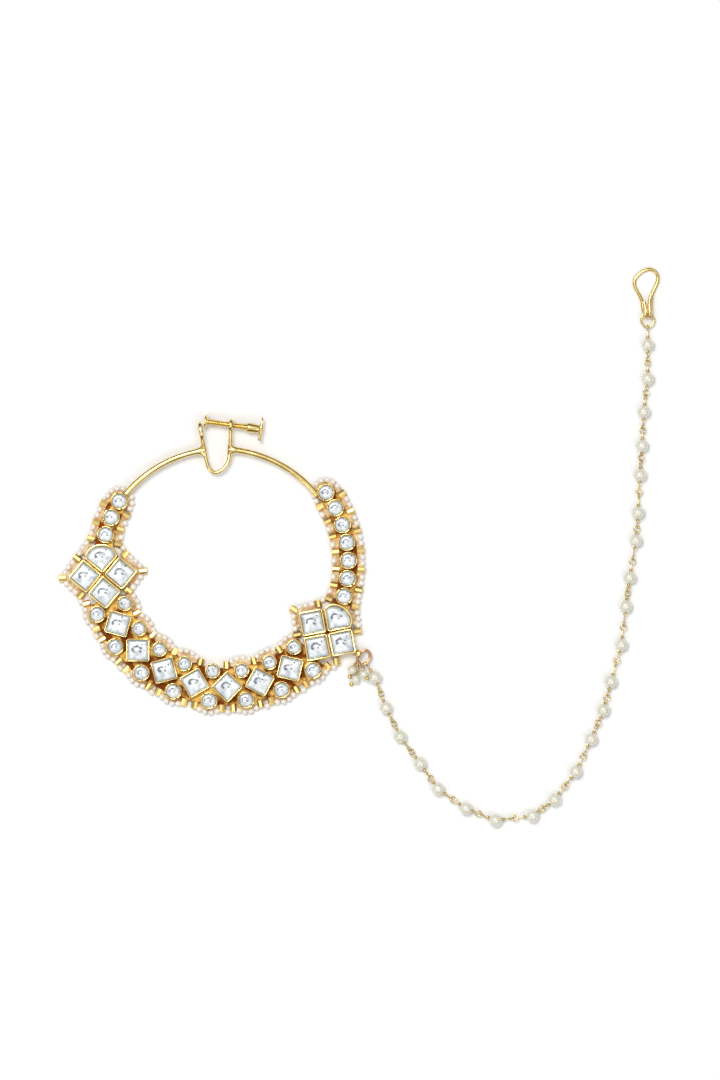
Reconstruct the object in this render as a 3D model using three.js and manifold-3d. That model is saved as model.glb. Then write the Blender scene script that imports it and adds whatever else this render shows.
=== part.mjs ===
// A nath: a bridal nose ring with a band of foil-backed stones, a screw clip and a pearl chain.
// It lies flat on its back. +Z is up, sizes are millimetres, angles are degrees from +X.

import * as THREE from "three";
import { mergeVertices } from "three/addons/utils/BufferGeometryUtils.js";
import Module from "manifold-3d";

// Stone band: stones in gold cups, soldered side by side along an arc.
const BAND_RADIUS = 31.8;
const BAND_MIDDLE_ANGLE = 255.5;
const ROW_SQUARES = 7;
const LEFT_TAIL_ROUNDS = 3;
const RIGHT_TAIL_ROUNDS = 7;
const SQUARE_STONE = 5.4;
const CLUSTER_STONE = 5.7;
const CLUSTER_GAP = 0.25;
const TAIL_STONE = 3.9;
const TAIL_GAP = 0.15;
const OUTER_STONE = 3.8;
const INNER_STONE = 3.4;
const OUTER_ROUND_RISE = 0.7;
const INNER_ROUND_RISE = 1.0;
const ARCH_ROUNDING = 1.1;
const CUP_WALL = 0.32;
const CUP_HEIGHT = 3.3;
const CUP_FLOOR = 1.0;
const STONE_CLEARANCE = 0.06;
const STONE_RISE = 0.45;
const STONE_BEVEL = 0.75;
const BACK_PLATE = 1.2;
const TAIL_PLATE_WIDTH = 3.4;
const PLATE_SETBACK = 1.5;
const PLATE_ARC_STEP = 12;
const ROUND_SIDES = 8;
const ARCH_STEPS = 5;

// Hoop wire and the screw clip at its crown.
const HOOP_WIRE = 1.55;
const HOOP_LEVEL = 2.6;
const HOOP_LEFT_INSET = 0.2;
const HOOP_RIGHT_INSET = 2.2;
const HOOP_CROWN_INSET = 2.35;
const HOOP_ARC_STEPS = 5;
const CLIP_MIDDLE = -2.6;
const CLIP_WIRE = 1.0;
const CLIP_SPAN = 7.0;
const CLIP_HEIGHT = 12.3;
const CLIP_ABOVE_HOOP = 6.35;
const CLIP_STEPS = 18;
const CLIP_SIDES = 6;
const SCREW_SLOPE = -8.2;
const FIXED_PAD_HEIGHT = 4.9;
const FIXED_PAD_THICKNESS = 1.0;
const FIXED_PAD_OVERHANG = 0.4;
const FIXED_PAD_SIDES = 11;
const PAD_DIAMETER = 3.5;
const PAD_THICKNESS = 0.9;
const PAD_BEVEL = 0.25;
const PAD_GRIP = 0.35;
const SCREW_DIAMETER = 1.75;
const SCREW_LENGTH = 9.3;
const SCREW_TIP_GAP = 0.1;
const EYE_DIAMETER = 3.3;
const EYE_THICKNESS = 0.85;
const EYE_CLEARANCE = 0.12;
const EYE_SIDES = 12;
const SPINDLE_SIDES = 10;
const BARREL_DIAMETER = 2.5;
const BARREL_LENGTH = 3.2;
const CONE_LENGTH = 1.0;
const THUMB_BAR = 0.9;
const THUMB_BAR_LENGTH = 6.2;
const CROSS_BAR = 0.8;
const CROSS_BAR_LENGTH = 3.4;
const BAR_SIDES = 7;

// Edging: gold tube beads that point outwards, with seed pearls strung between them.
const TUBE_BEAD = 2.0;
const TUBE_BEAD_LENGTH = 2.0;
const SEED_PEARL = 1.5;
const SEED_PITCH = 1.6;
const THREAD = 0.5;
const SEED_SIDES = 5;
const TUBE_BEAD_SIDES = 4;
const EDGE_BOW = 0.5;
const CORNER_BOW = 1.0;
const ARCH_BEAD_SHARE = 0.75;
const ARCH_BEAD_OUT = 0.3;
const FAN_WRAP = 5;
const CLUSTER_BEAD_SHIFT = 1.4;
const EDGE_GAP = 0.3;
const EDGE_LEVEL = 1.0;

// Jump ring, drops and the pearl chain.
const BAIL_BORE = 1.1;
const BAIL_WALL = 0.4;
const BAIL_LENGTH = 1.7;
const JUMP_RING_LENGTH = 4.7;
const JUMP_RING_WIDTH = 3.8;
const JUMP_RING_WIRE = 0.5;
const DROP_PEARL = 2.4;
const DROP_BALL = 1.1;
const DROP_WIRE = 0.35;
const DROP_EYE = 1.7;
const CHAIN_PEARL = 3.4;
const CHAIN_WIRE = 0.4;
const CHAIN_EYE = 1.9;
const CHAIN_EYE_GAP = 0.2;
const CHAIN_SECTION = 5;
const PEARL_SIDES = 6;

// Hair hook of bent wire, and the small ring that ties it to the chain.
const HOOK_WIRE = 0.9;
const HOOK_WIDTH = 7.1;
const HOOK_LENGTH = 13.3;
const HOOK_SHANK_RISE = 1.9;
const HOOK_RING_LENGTH = 4.2;
const HOOK_RING_WIDTH = 3.8;
const HOOK_RING_WIRE = 0.5;
const HOOK_RING_AT = 0.55;
const HOOK_LEG_AT = 0.455;
const HOOK_STEPS = 60;
const HOOK_CLEARANCE = 0.26;
const HOOK_DIP = 0.12;
const HOOK_SIDES = 5;
const RING_STEPS = 16;
const LAST_LINK_REACH = 4.5;
const LINK_CLEARANCE = 0.15;

// Chosen points: each chain pearl's centre as it lies, from the jump ring to the hook.
const CHAIN_PEARLS = [
  [38.63, -29.41], [41.45, -37.26], [45.12, -44.68], [50.28, -51.71], [54.88, -58.24],
  [62.07, -63.26], [69.74, -66.31], [79.28, -65.17], [85.01, -60.96], [90.49, -53.7],
  [94.42, -45.37], [97.6, -37.86], [99.53, -30.44], [102.22, -20.96], [103.39, -11.01],
  [104.37, -3.62], [105.97, 5.97], [106.56, 13.13], [107.03, 22.89], [107.56, 30.41],
  [108.01, 39.2], [109.02, 47.75], [109.02, 56.51],
];

// A chain pearl's rings, as shares of its radius along its wire and out from it.
const PEARL_RINGS = [
  { share: -1.0, swell: 0.1 },
  { share: -0.6, swell: 0.8 },
  { share: 0.0, swell: 1.0 },
  { share: 0.6, swell: 0.8 },
  { share: 1.0, swell: 0.1 },
];

// Clip wire: across as a share of CLIP_SPAN, up as a share of CLIP_HEIGHT, from the fixed pad.
const CLIP_ROUTE = [
  { across: -0.53, up: 0.84 },
  { across: -0.49, up: 0.7 },
  { across: -0.41, up: 0.5 },
  { across: -0.34, up: 0.27 },
  { across: -0.22, up: 0.08 },
  { across: -0.01, up: 0.0 },
  { across: 0.25, up: 0.06 },
  { across: 0.46, up: 0.22 },
  { across: 0.53, up: 0.42 },
  { across: 0.55, up: 0.65 },
  { across: 0.56, up: 0.9 },
];

// Hook wire: across as a share of its width, up of its length, and level of the shank's rise.
const HOOK_ROUTE = [
  { across: 0.4, up: 0.32, level: 0.95 },
  { across: 0.46, up: 0.17, level: 1.0 },
  { across: 0.46, up: 0.03, level: 1.0 },
  { across: 0.455, up: 0.0, level: 0.5 },
  { across: 0.45, up: 0.03, level: 0.0 },
  { across: 0.36, up: 0.18, level: 0.0 },
  { across: 0.32, up: 0.33, level: 0.0 },
  { across: 0.19, up: 0.48, level: 0.0 },
  { across: 0.02, up: 0.65, level: 0.0 },
  { across: 0.02, up: 0.78, level: 0.0 },
  { across: 0.16, up: 0.88, level: 0.0 },
  { across: 0.38, up: 0.96, level: 0.0 },
  { across: 0.63, up: 1.0, level: 0.0 },
  { across: 0.85, up: 0.96, level: 0.0 },
  { across: 0.98, up: 0.86, level: 0.0 },
  { across: 0.97, up: 0.75, level: 0.0 },
  { across: 0.87, up: 0.62, level: 0.0 },
  { across: 0.76, up: 0.5, level: 0.0 },
  { across: 0.7, up: 0.36, level: 0.0 },
  { across: 0.7, up: 0.2, level: 0.0 },
  { across: 0.65, up: 0.03, level: 0.0 },
  { across: 0.645, up: 0.0, level: 0.5 },
  { across: 0.64, up: 0.03, level: 1.0 },
  { across: 0.64, up: 0.2, level: 1.0 },
  { across: 0.63, up: 0.34, level: 0.85 },
  { across: 0.7, up: 0.46, level: 0.75 },
];

// Drops: pearl and end ball beside the jump ring's centre, and the ring angle of each eye.
const DROPS = [
  { name: "drop_left", pearl: [-3.0, -3.3, 1.3], ball: [-3.65, -5.0, 0.7], eyeAngle: 215 },
  { name: "drop_middle", pearl: [-2.06, -5.75, 1.3], ball: [-3.2, -6.95, 0.7], eyeAngle: 240 },
  { name: "drop_right", pearl: [0.0, -4.35, 2.6], ball: [0.9, -5.4, 3.5], eyeAngle: 265 },
];
const CHAIN_EYE_ANGLE = 295;

// Corners that meet are set on this grid before they are joined, so that they are one point.
const GRID = 1e-4;

const GOLD = { color: 0xd4a63c, roughness: 0.25, metalness: 1.0 };
const ROSE_GOLD = { color: 0xd69a6a, roughness: 0.25, metalness: 1.0 };
const GLASS = { color: 0xe9eef4, roughness: 0.1, metalness: 0.0 };
const PEARL = { color: 0xf0eee0, roughness: 0.3, metalness: 0.0 };

const wasm = await Module();
wasm.setup();

const radians = THREE.MathUtils.degToRad;
const UP = new THREE.Vector3(0, 0, 1);

function polar(radius, angle, level = 0) {
  const a = radians(angle);
  return new THREE.Vector3(radius * Math.cos(a), radius * Math.sin(a), level);
}

// Joining and cutting.

function solid(geometry) {
  const bare = geometry.index ? geometry.toNonIndexed() : geometry.clone();
  bare.deleteAttribute("normal");
  bare.deleteAttribute("uv");
  const position = bare.attributes.position;
  position.array.forEach((value, i) => {
    position.array[i] = Math.round(value / GRID) * GRID;
  });
  const merged = mergeVertices(bare, GRID / 10);
  return new wasm.Manifold(
    new wasm.Mesh({
      numProp: 3,
      vertProperties: new Float32Array(merged.attributes.position.array),
      triVerts: new Uint32Array(merged.index.array),
    }),
  );
}

function joined(solids) {
  return solids.reduce((whole, next) => whole.add(next));
}

function geometryOf(body) {
  const mesh = body.getMesh();
  const geometry = new THREE.BufferGeometry();
  geometry.setAttribute("position", new THREE.BufferAttribute(new Float32Array(mesh.vertProperties), 3));
  geometry.setIndex(new THREE.BufferAttribute(new Uint32Array(mesh.triVerts), 1));
  geometry.computeVertexNormals();
  return geometry;
}

// Basic forms.

function prism(outline, bottom, top) {
  const shape = new THREE.Shape(outline);
  const settings = { depth: top - bottom, bevelEnabled: false };
  return new THREE.ExtrudeGeometry(shape, settings).translate(0, 0, bottom);
}

// A regular outline whose flats lie at the given distance, with one corner at the given angle.
function regularOutline(flat, sides, cornerAngle) {
  const corner = flat / Math.cos(Math.PI / sides);
  return Array.from({ length: sides }, (_, i) => {
    const point = polar(corner, cornerAngle + (360 * i) / sides);
    return new THREE.Vector2(point.x, point.y);
  });
}

function sweep(curve, diameter, steps, sides = 8) {
  const flat = (diameter / 2) * Math.cos(Math.PI / sides);
  const section = new THREE.Shape(regularOutline(flat, sides, 180 / sides));
  return new THREE.ExtrudeGeometry(section, { steps, bevelEnabled: false, extrudePath: curve });
}

function route(points) {
  return new THREE.CatmullRomCurve3(points, false, "centripetal");
}

function straight(from, to, diameter, sides = 4) {
  return sweep(new THREE.LineCurve3(from, to), diameter, 1, sides);
}

// A turned form along an axis: profile points are [distance along the axis, radius].
function turned(profile, sides) {
  const points = profile.map(([along, radius]) => new THREE.Vector2(radius, along));
  return new THREE.LatheGeometry(points, sides).rotateZ(-Math.PI / 2);
}

function ball(centre, diameter, wide = 8, high = 5) {
  return new THREE.SphereGeometry(diameter / 2, wide, high).rotateX(Math.PI / 2).translate(...centre);
}

// A wire ring: its hole faces "facing", and it may be longer along "long" than across it.
function wireRing(centre, facing, long, length, width, wire, steps = 8, sides = 4) {
  const ring = new THREE.TorusGeometry((width - wire) / 2, wire / 2, sides, steps);
  ring.scale((length - wire) / (width - wire), 1, 1);
  const across = new THREE.Vector3().crossVectors(facing, long);
  ring.applyMatrix4(new THREE.Matrix4().makeBasis(long, across, facing));
  return ring.translate(...centre);
}

// Layout of the band, by arc length, so that the stones stay side by side at any size.

function arcAngle(length) {
  return THREE.MathUtils.radToDeg(length / BAND_RADIUS);
}

const squareReach = (SQUARE_STONE / 2 + CUP_WALL) * Math.SQRT2;
const clusterStep = (CLUSTER_STONE / 2 + CUP_WALL + CLUSTER_GAP / 2) * Math.SQRT2;
const clusterReach = clusterStep + (CLUSTER_STONE / 2 + CUP_WALL) * Math.SQRT2;
const tailStep = TAIL_STONE + 2 * CUP_WALL + TAIL_GAP;
const squareStep = arcAngle(2 * squareReach);
const clusterOffset = arcAngle(((ROW_SQUARES - 1) * 2 * squareReach) / 2 + squareReach + clusterReach);
const tailOffset = clusterOffset + arcAngle(clusterReach + tailStep / 2 - ARCH_ROUNDING);

const stones = [];

function addStone(name, kind, size, radius, angle) {
  const centre = polar(radius, angle);
  stones.push({ name, kind, size, radius, angle, centre });
}

for (let i = 0; i < ROW_SQUARES; i += 1) {
  const angle = BAND_MIDDLE_ANGLE + (i - (ROW_SQUARES - 1) / 2) * squareStep;
  addStone(`row_square_${i + 1}`, "square", SQUARE_STONE, BAND_RADIUS, angle);
}

const outerRoundRadius = BAND_RADIUS + (OUTER_STONE / 2 + CUP_WALL) * Math.SQRT2 + OUTER_ROUND_RISE;
const innerRoundRadius = BAND_RADIUS - (INNER_STONE / 2 + CUP_WALL) * Math.SQRT2 - INNER_ROUND_RISE;
for (let i = 0; i <= ROW_SQUARES; i += 1) {
  const angle = BAND_MIDDLE_ANGLE + (i - ROW_SQUARES / 2) * squareStep;
  addStone(`outer_round_${i + 1}`, "round", OUTER_STONE, outerRoundRadius, angle);
  addStone(`inner_round_${i + 1}`, "round", INNER_STONE, innerRoundRadius, angle);
}

// Each cluster is four squares in a diamond. The one towards the tail has a rounded corner.
const clusters = [
  { side: "left", away: -1 },
  { side: "right", away: 1 },
].map(({ side, away }) => {
  const angle = BAND_MIDDLE_ANGLE + away * clusterOffset;
  const centre = polar(BAND_RADIUS, angle);
  const places = [
    { name: "arch", kind: "arch", turn: away * 90 },
    { name: "outer", kind: "square", turn: 0 },
    { name: "row", kind: "square", turn: away * -90 },
    { name: "inner", kind: "square", turn: 180 },
  ];
  for (const place of places) {
    const spot = centre.clone().add(polar(clusterStep, angle + place.turn));
    stones.push({
      name: `${side}_cluster_${place.name}`,
      kind: place.kind,
      size: CLUSTER_STONE,
      angle,
      archAngle: angle + place.turn,
      centre: spot,
    });
  }
  return { side, away, angle, centre };
});

const tails = { left: [], right: [] };
for (const { side, away, count } of [
  { side: "left", away: -1, count: LEFT_TAIL_ROUNDS },
  { side: "right", away: 1, count: RIGHT_TAIL_ROUNDS },
]) {
  for (let i = 0; i < count; i += 1) {
    const angle = BAND_MIDDLE_ANGLE + away * (tailOffset + arcAngle(i * tailStep));
    addStone(`${side}_tail_${i + 1}`, "round", TAIL_STONE, BAND_RADIUS, angle);
    tails[side].push(angle);
  }
}

// Stones, and the cups that hold them.

function stoneOutline(stone, grow) {
  const flat = stone.size / 2 + grow;
  if (stone.kind === "round") {
    return regularOutline(flat, ROUND_SIDES, stone.angle + 180 / ROUND_SIDES);
  }
  const square = regularOutline(flat, 4, stone.angle);
  if (stone.kind === "square") {
    return square;
  }
  // The arch's corner becomes a dome that runs from the corner on one side of it to the other.
  const tip = polar(flat * Math.SQRT2, stone.archAngle);
  const arc = Array.from({ length: ARCH_STEPS }, (_, i) => {
    const turn = -90 + (180 * (i + 1)) / (ARCH_STEPS + 1);
    const forwards = polar((flat * Math.SQRT2 - ARCH_ROUNDING) * Math.cos(radians(turn)), stone.archAngle);
    const sideways = polar(flat * Math.SQRT2 * Math.sin(radians(turn)), stone.archAngle + 90);
    return new THREE.Vector2(forwards.x + sideways.x, forwards.y + sideways.y);
  });
  const cornerIndex = square.findIndex((point) => point.distanceTo(new THREE.Vector2(tip.x, tip.y)) < 0.01);
  square.splice(cornerIndex, 1, ...arc);
  return square;
}

// A stone is a prism in its cup, under a crown that slopes in to a flat table.
function stoneSolid(stone) {
  const girdle = stoneOutline(stone, -STONE_CLEARANCE);
  const bottom = CUP_FLOOR + STONE_CLEARANCE;
  const table = (stone.size / 2 - STONE_BEVEL) / (stone.size / 2);
  const body = prism(girdle, bottom, CUP_HEIGHT);
  const crown = prism(girdle, CUP_HEIGHT, CUP_HEIGHT + STONE_RISE);
  const position = crown.attributes.position;
  for (let i = 0; i < position.count; i += 1) {
    if (position.getZ(i) > CUP_HEIGHT + STONE_RISE / 2) {
      position.setXY(i, position.getX(i) * table, position.getY(i) * table);
    }
  }
  return geometryOf(solid(body).add(solid(crown)));
}

function cupSolid(stone) {
  const block = prism(stoneOutline(stone, CUP_WALL), 0, CUP_HEIGHT);
  return solid(block.translate(stone.centre.x, stone.centre.y, 0));
}

function pocketSolid(stone) {
  const above = CUP_HEIGHT + 2 * STONE_RISE;
  return solid(prism(stoneOutline(stone, 0), CUP_FLOOR, above).translate(stone.centre.x, stone.centre.y, 0));
}

function plateSector(innerRadius, outerRadius, fromAngle, toAngle, thickness) {
  const steps = Math.ceil((toAngle - fromAngle) / PLATE_ARC_STEP);
  const side = (radius, from, to) =>
    Array.from({ length: steps + 1 }, (_, i) => {
      const point = polar(radius, from + ((to - from) * i) / steps);
      return new THREE.Vector2(point.x, point.y);
    });
  const outline = [...side(outerRadius, fromAngle, toAngle), ...side(innerRadius, toAngle, fromAngle)];
  return solid(prism(outline, 0, thickness));
}

const leftEnd = tails.left.at(-1);
const rightEnd = tails.right.at(-1);
const halfTail = TAIL_PLATE_WIDTH / 2;
const rowEdge = (ROW_SQUARES / 2) * squareStep - PLATE_SETBACK;
const plates = [
  plateSector(BAND_RADIUS - halfTail, BAND_RADIUS + halfTail, leftEnd, rightEnd, BACK_PLATE),
  plateSector(
    innerRoundRadius,
    outerRoundRadius,
    BAND_MIDDLE_ANGLE - rowEdge,
    BAND_MIDDLE_ANGLE + rowEdge,
    BACK_PLATE,
  ),
  ...clusters.map(({ angle, centre }) => {
    const outline = regularOutline(clusterStep, 4, angle);
    return solid(prism(outline, 0, BACK_PLATE).translate(centre.x, centre.y, 0));
  }),
];

// Hoop wire: one arc from tail end to tail end through the crown, cut where the clip stands.

const hoopLeft = polar(BAND_RADIUS - HOOP_LEFT_INSET, leftEnd);
const hoopRight = polar(BAND_RADIUS - HOOP_RIGHT_INSET, rightEnd);
const hoopCrown = new THREE.Vector3(CLIP_MIDDLE, BAND_RADIUS - HOOP_CROWN_INSET, 0);

function circleThrough(a, b, c) {
  const ab = b.clone().sub(a);
  const ac = c.clone().sub(a);
  const cross = 2 * (ab.x * ac.y - ab.y * ac.x);
  const x = (ac.y * ab.lengthSq() - ab.y * ac.lengthSq()) / cross;
  const y = (ab.x * ac.lengthSq() - ac.x * ab.lengthSq()) / cross;
  const centre = new THREE.Vector3(a.x + x, a.y + y, 0);
  return { centre, radius: centre.distanceTo(a) };
}

const hoop = circleThrough(hoopLeft, hoopCrown, hoopRight);

function hoopAngle(point) {
  return THREE.MathUtils.radToDeg(Math.atan2(point.y - hoop.centre.y, point.x - hoop.centre.x));
}

function hoopPoint(angle) {
  return hoop.centre.clone().add(polar(hoop.radius, angle, HOOP_LEVEL));
}

function hoopArc(fromAngle, toAngle, steps) {
  const stepAngle = (toAngle - fromAngle) / steps;
  const points = Array.from({ length: steps + 1 }, (_, i) => hoopPoint(fromAngle + i * stepAngle));
  return solid(sweep(route(points), HOOP_WIRE, steps));
}

// Clip: a U of wire whose left leg is flattened to the fixed pad and right leg to the screw's eye.

const clipBottom = hoopCrown.y + CLIP_ABOVE_HOOP - CLIP_HEIGHT;

function clipPoint({ across, up }) {
  return new THREE.Vector3(CLIP_MIDDLE + across * CLIP_SPAN, clipBottom + up * CLIP_HEIGHT, HOOP_LEVEL);
}

const clipWire = route(CLIP_ROUTE.map(clipPoint));
const leftLegTop = clipPoint(CLIP_ROUTE[0]);
const rightLegTop = clipPoint(CLIP_ROUTE.at(-1));
const leftLegAngle = hoopAngle(clipPoint({ across: -0.42, up: 0.5 }));
const rightLegAngle = hoopAngle(clipPoint({ across: 0.5, up: 0.5 }));

// The screw's axis leaves the eye and runs towards the fixed pad.
const screwAxis = polar(1, SCREW_SLOPE);
const eyeCentre = new THREE.Vector3(rightLegTop.x, clipBottom + CLIP_HEIGHT, HOOP_LEVEL);
const legBend = clipPoint(CLIP_ROUTE[1]);
const legLean = Math.atan2(legBend.x - leftLegTop.x, leftLegTop.y - legBend.y);
const padSeat = leftLegTop.x + FIXED_PAD_THICKNESS / 2;
const padReach = (padSeat + PAD_GRIP - eyeCentre.x) / screwAxis.x;
const padFace = eyeCentre.clone().addScaledVector(screwAxis, padReach);

// Places a turned form, made along +X from its start, on the screw's axis.
function onScrewAxis(geometry, along) {
  const start = padFace.clone().addScaledVector(screwAxis, along);
  return geometry.rotateZ(radians(SCREW_SLOPE)).translate(start.x, start.y, start.z);
}

// A disc along its own axis, from 0 to its thickness.
function disc(diameter, thickness, sides, bevel = 0) {
  const radius = diameter / 2;
  return turned([[0, 0], [0, radius], [thickness, radius - bevel], [thickness, 0]], sides);
}

const fixedPad = disc(FIXED_PAD_HEIGHT, FIXED_PAD_THICKNESS, FIXED_PAD_SIDES);
fixedPad.translate(-FIXED_PAD_THICKNESS / 2, 0, 0);
fixedPad.scale(1, 1, PAD_DIAMETER / FIXED_PAD_HEIGHT);
fixedPad.rotateZ(legLean);
const padTurn = new THREE.Vector3(-Math.sin(legLean), Math.cos(legLean), 0);
const fixedPadCentre = leftLegTop.clone().addScaledVector(padTurn, FIXED_PAD_OVERHANG);
fixedPad.translate(...fixedPadCentre);

const eyeAlong = eyeCentre.distanceTo(padFace) - EYE_THICKNESS / 2;
const eyePlate = onScrewAxis(disc(EYE_DIAMETER, EYE_THICKNESS, SPINDLE_SIDES), eyeAlong);
const eyeBoreDiameter = SCREW_DIAMETER + 2 * EYE_CLEARANCE;
const eyeBore = onScrewAxis(disc(eyeBoreDiameter, 3 * EYE_THICKNESS, EYE_SIDES), eyeAlong - EYE_THICKNESS);

// Bail: the tube bead at the right cluster's outer tip, which the jump ring runs through.

const rightCluster = clusters[1];
const tipDirection = polar(1, rightCluster.angle);
const tip = rightCluster.centre.clone().addScaledVector(tipDirection, clusterReach);
const bailRadius = BAIL_BORE / 2 + BAIL_WALL;
const bailCentre = tip.clone().addScaledVector(tipDirection, bailRadius - BAIL_WALL).setZ(CHAIN_PEARL / 2);
const tangent = polar(1, rightCluster.angle + 90);
const bailHalf = tangent.clone().multiplyScalar(BAIL_LENGTH / 2);
const bailFrom = bailCentre.clone().sub(bailHalf);
const bailTo = bailCentre.clone().add(bailHalf);
const bailTube = straight(bailFrom, bailTo, 2 * bailRadius, 8);
const bailBore = straight(
  bailCentre.clone().addScaledVector(bailHalf, -2),
  bailCentre.clone().addScaledVector(bailHalf, 2),
  BAIL_BORE,
  8,
);

const frame = joined([
  ...stones.map(cupSolid),
  ...plates,
  hoopArc(hoopAngle(hoopLeft), leftLegAngle, HOOP_ARC_STEPS),
  hoopArc(rightLegAngle, hoopAngle(hoopRight), HOOP_ARC_STEPS),
  solid(sweep(clipWire, CLIP_WIRE, CLIP_STEPS, CLIP_SIDES)),
  solid(fixedPad),
  solid(eyePlate),
  solid(bailTube),
]);
const cuts = joined([...stones.map(pocketSolid), solid(eyeBore), solid(bailBore)]);
const frameSolid = frame.subtract(cuts);

// Screw: a disc pad that swivels on the tip, and the threaded spindle with its barrel and thumb bars.

const pad = onScrewAxis(disc(PAD_DIAMETER, PAD_THICKNESS, EYE_SIDES, PAD_BEVEL), 0);
const spindleStart = PAD_THICKNESS + SCREW_TIP_GAP;
const coneStart = spindleStart + SCREW_LENGTH;
const barrelStart = coneStart + CONE_LENGTH;
const barrelEnd = barrelStart + BARREL_LENGTH;
const spindle = onScrewAxis(
  turned(
    [
      [spindleStart, 0],
      [spindleStart, SCREW_DIAMETER / 2],
      [coneStart, SCREW_DIAMETER / 2],
      [barrelStart, BARREL_DIAMETER / 2],
      [barrelEnd, BARREL_DIAMETER / 2],
      [barrelEnd, 0],
    ],
    SPINDLE_SIDES,
  ),
  0,
);

// A thumb bar, thick at its middle, that stands across the end of the barrel.
function thumbBar(length, thickness) {
  const half = length / 2;
  const profile = [[-half, 0], [-half, thickness / 3], [0, thickness / 2], [half, thickness / 3], [half, 0]];
  const bar = turned(profile, BAR_SIDES).rotateZ(Math.PI / 2);
  return bar.translate(barrelEnd + THUMB_BAR / 3, 0, 0);
}

const longBar = onScrewAxis(thumbBar(THUMB_BAR_LENGTH, THUMB_BAR), 0);
const crossBar = onScrewAxis(thumbBar(CROSS_BAR_LENGTH, CROSS_BAR).rotateX(Math.PI / 2), 0);
const screwSolid = joined([spindle, longBar, crossBar].map(solid));

// Edging. Tube beads stand at set places, and seed pearls fill the thread between them.

const beadRadius = TUBE_BEAD / 2;
const beadOut = EDGE_GAP + TUBE_BEAD_LENGTH / 2;
const tailCup = TAIL_STONE / 2 + CUP_WALL;
const pearlOut = EDGE_GAP + SEED_PEARL / 2;

// A bead and its bow: how far the seed pearls beside it stand out from the line of beads.
function beadAt(centre, direction, bow) {
  return { centre: centre.clone().setZ(EDGE_LEVEL), direction, bow };
}

function bandBead(angle, radius, outwards, bow) {
  return beadAt(polar(radius, angle), polar(outwards, angle), bow);
}

// Beads on one edge of a cluster, from the row to the tail: side, tip, side.
function clusterBeads({ centre, angle, away }, outwards) {
  const facing = outwards > 0 ? angle : angle + 180;
  const lean = outwards * away * 45;
  const sideDistance = clusterReach / Math.SQRT2 + beadOut;
  const towardsTip = polar(CLUSTER_BEAD_SHIFT, facing);
  const out = (turn, distance, shift) => {
    const spot = centre.clone().add(polar(distance, turn));
    return beadAt(spot.addScaledVector(shift, 1), polar(1, turn), EDGE_BOW);
  };
  const alongSide = (turn) => towardsTip.clone().projectOnVector(polar(1, turn + 90));
  return [
    out(facing - lean, sideDistance, alongSide(facing - lean)),
    out(facing, clusterReach + beadOut, new THREE.Vector3()),
    out(facing + lean, sideDistance, alongSide(facing + lean)),
  ];
}

// Two beads flank each outer round, clear of its cup and level with the squares' corners.
function outerRowBeads(round) {
  const radius = BAND_RADIUS + squareReach + beadOut;
  const angle = BAND_MIDDLE_ANGLE + (round - ROW_SQUARES / 2) * squareStep;
  const flank = arcAngle(OUTER_STONE / 2 + CUP_WALL + beadRadius + EDGE_GAP) * (BAND_RADIUS / radius);
  const roundBow = outerRoundRadius + OUTER_STONE / 2 + CUP_WALL + pearlOut - radius;
  const cornerBead = (turn) => bandBead(angle + turn, radius, 1, CORNER_BOW);
  return [-flank, flank].map((turn) => ({ ...cornerBead(turn), round, roundBow }));
}

function innerRowBead(square) {
  const angle = BAND_MIDDLE_ANGLE + (square - (ROW_SQUARES - 1) / 2) * squareStep;
  const radius = BAND_RADIUS - squareReach - beadOut;
  const roundBow = radius - innerRoundRadius + INNER_STONE / 2 + CUP_WALL + pearlOut;
  return bandBead(angle, radius, -1, roundBow);
}

// One bead between each pair of tail stones, and one between the tail and its cluster, clear of the arch.
function tailBeads(side, away, outwards) {
  const radius = BAND_RADIUS + outwards * (tailCup + beadOut - TUBE_BEAD_LENGTH / 6);
  const shift = away * arcAngle(tailStep / 2);
  return tails[side].map((angle, i) => {
    const byArch = i === 0;
    const turn = byArch ? shift * ARCH_BEAD_SHARE : shift;
    return bandBead(angle - turn, radius + (byArch ? outwards * ARCH_BEAD_OUT : 0), outwards, EDGE_BOW);
  });
}

function range(from, to) {
  return Array.from({ length: to - from }, (_, i) => from + i);
}

// Seed pearls from one bead to the next, on a bow that stands out from the stones.
function seedsBetween(from, to) {
  const span = from.centre.distanceTo(to.centre);
  const bow = from.roundBow && from.round === to.round ? from.roundBow : Math.max(from.bow, to.bow);
  const outwards = from.direction.clone().add(to.direction).normalize();
  const middle = from.centre.clone().lerp(to.centre, 0.5).addScaledVector(outwards, 2 * bow);
  const curve = new THREE.QuadraticBezierCurve3(from.centre, middle, to.centre);
  const count = Math.round((curve.getLength() - TUBE_BEAD) / SEED_PITCH);
  const margin = (curve.getLength() - count * SEED_PITCH) / 2 / curve.getLength();
  const share = (i) => margin + ((1 - 2 * margin) * (i + 0.5)) / count;
  return span > TUBE_BEAD ? range(0, count).map((i) => curve.getPointAt(share(i))) : [];
}

// Seed pearls round the free end of a tail.
function seedsRoundEnd(side, away) {
  const endAngle = tails[side].at(-1);
  const hub = polar(BAND_RADIUS, endAngle, EDGE_LEVEL);
  const radius = tailCup + pearlOut;
  const sweepAngle = 180 + 2 * FAN_WRAP;
  const count = Math.round((radians(sweepAngle) * radius) / SEED_PITCH);
  const start = endAngle + 90 * away - sweepAngle / 2;
  return range(0, count + 1).map((i) => hub.clone().add(polar(radius, start + (sweepAngle * i) / count)));
}

function threadEnd(station, along, way) {
  return station.centre.clone().addScaledVector(along, (way * SEED_PEARL) / 2);
}

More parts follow.
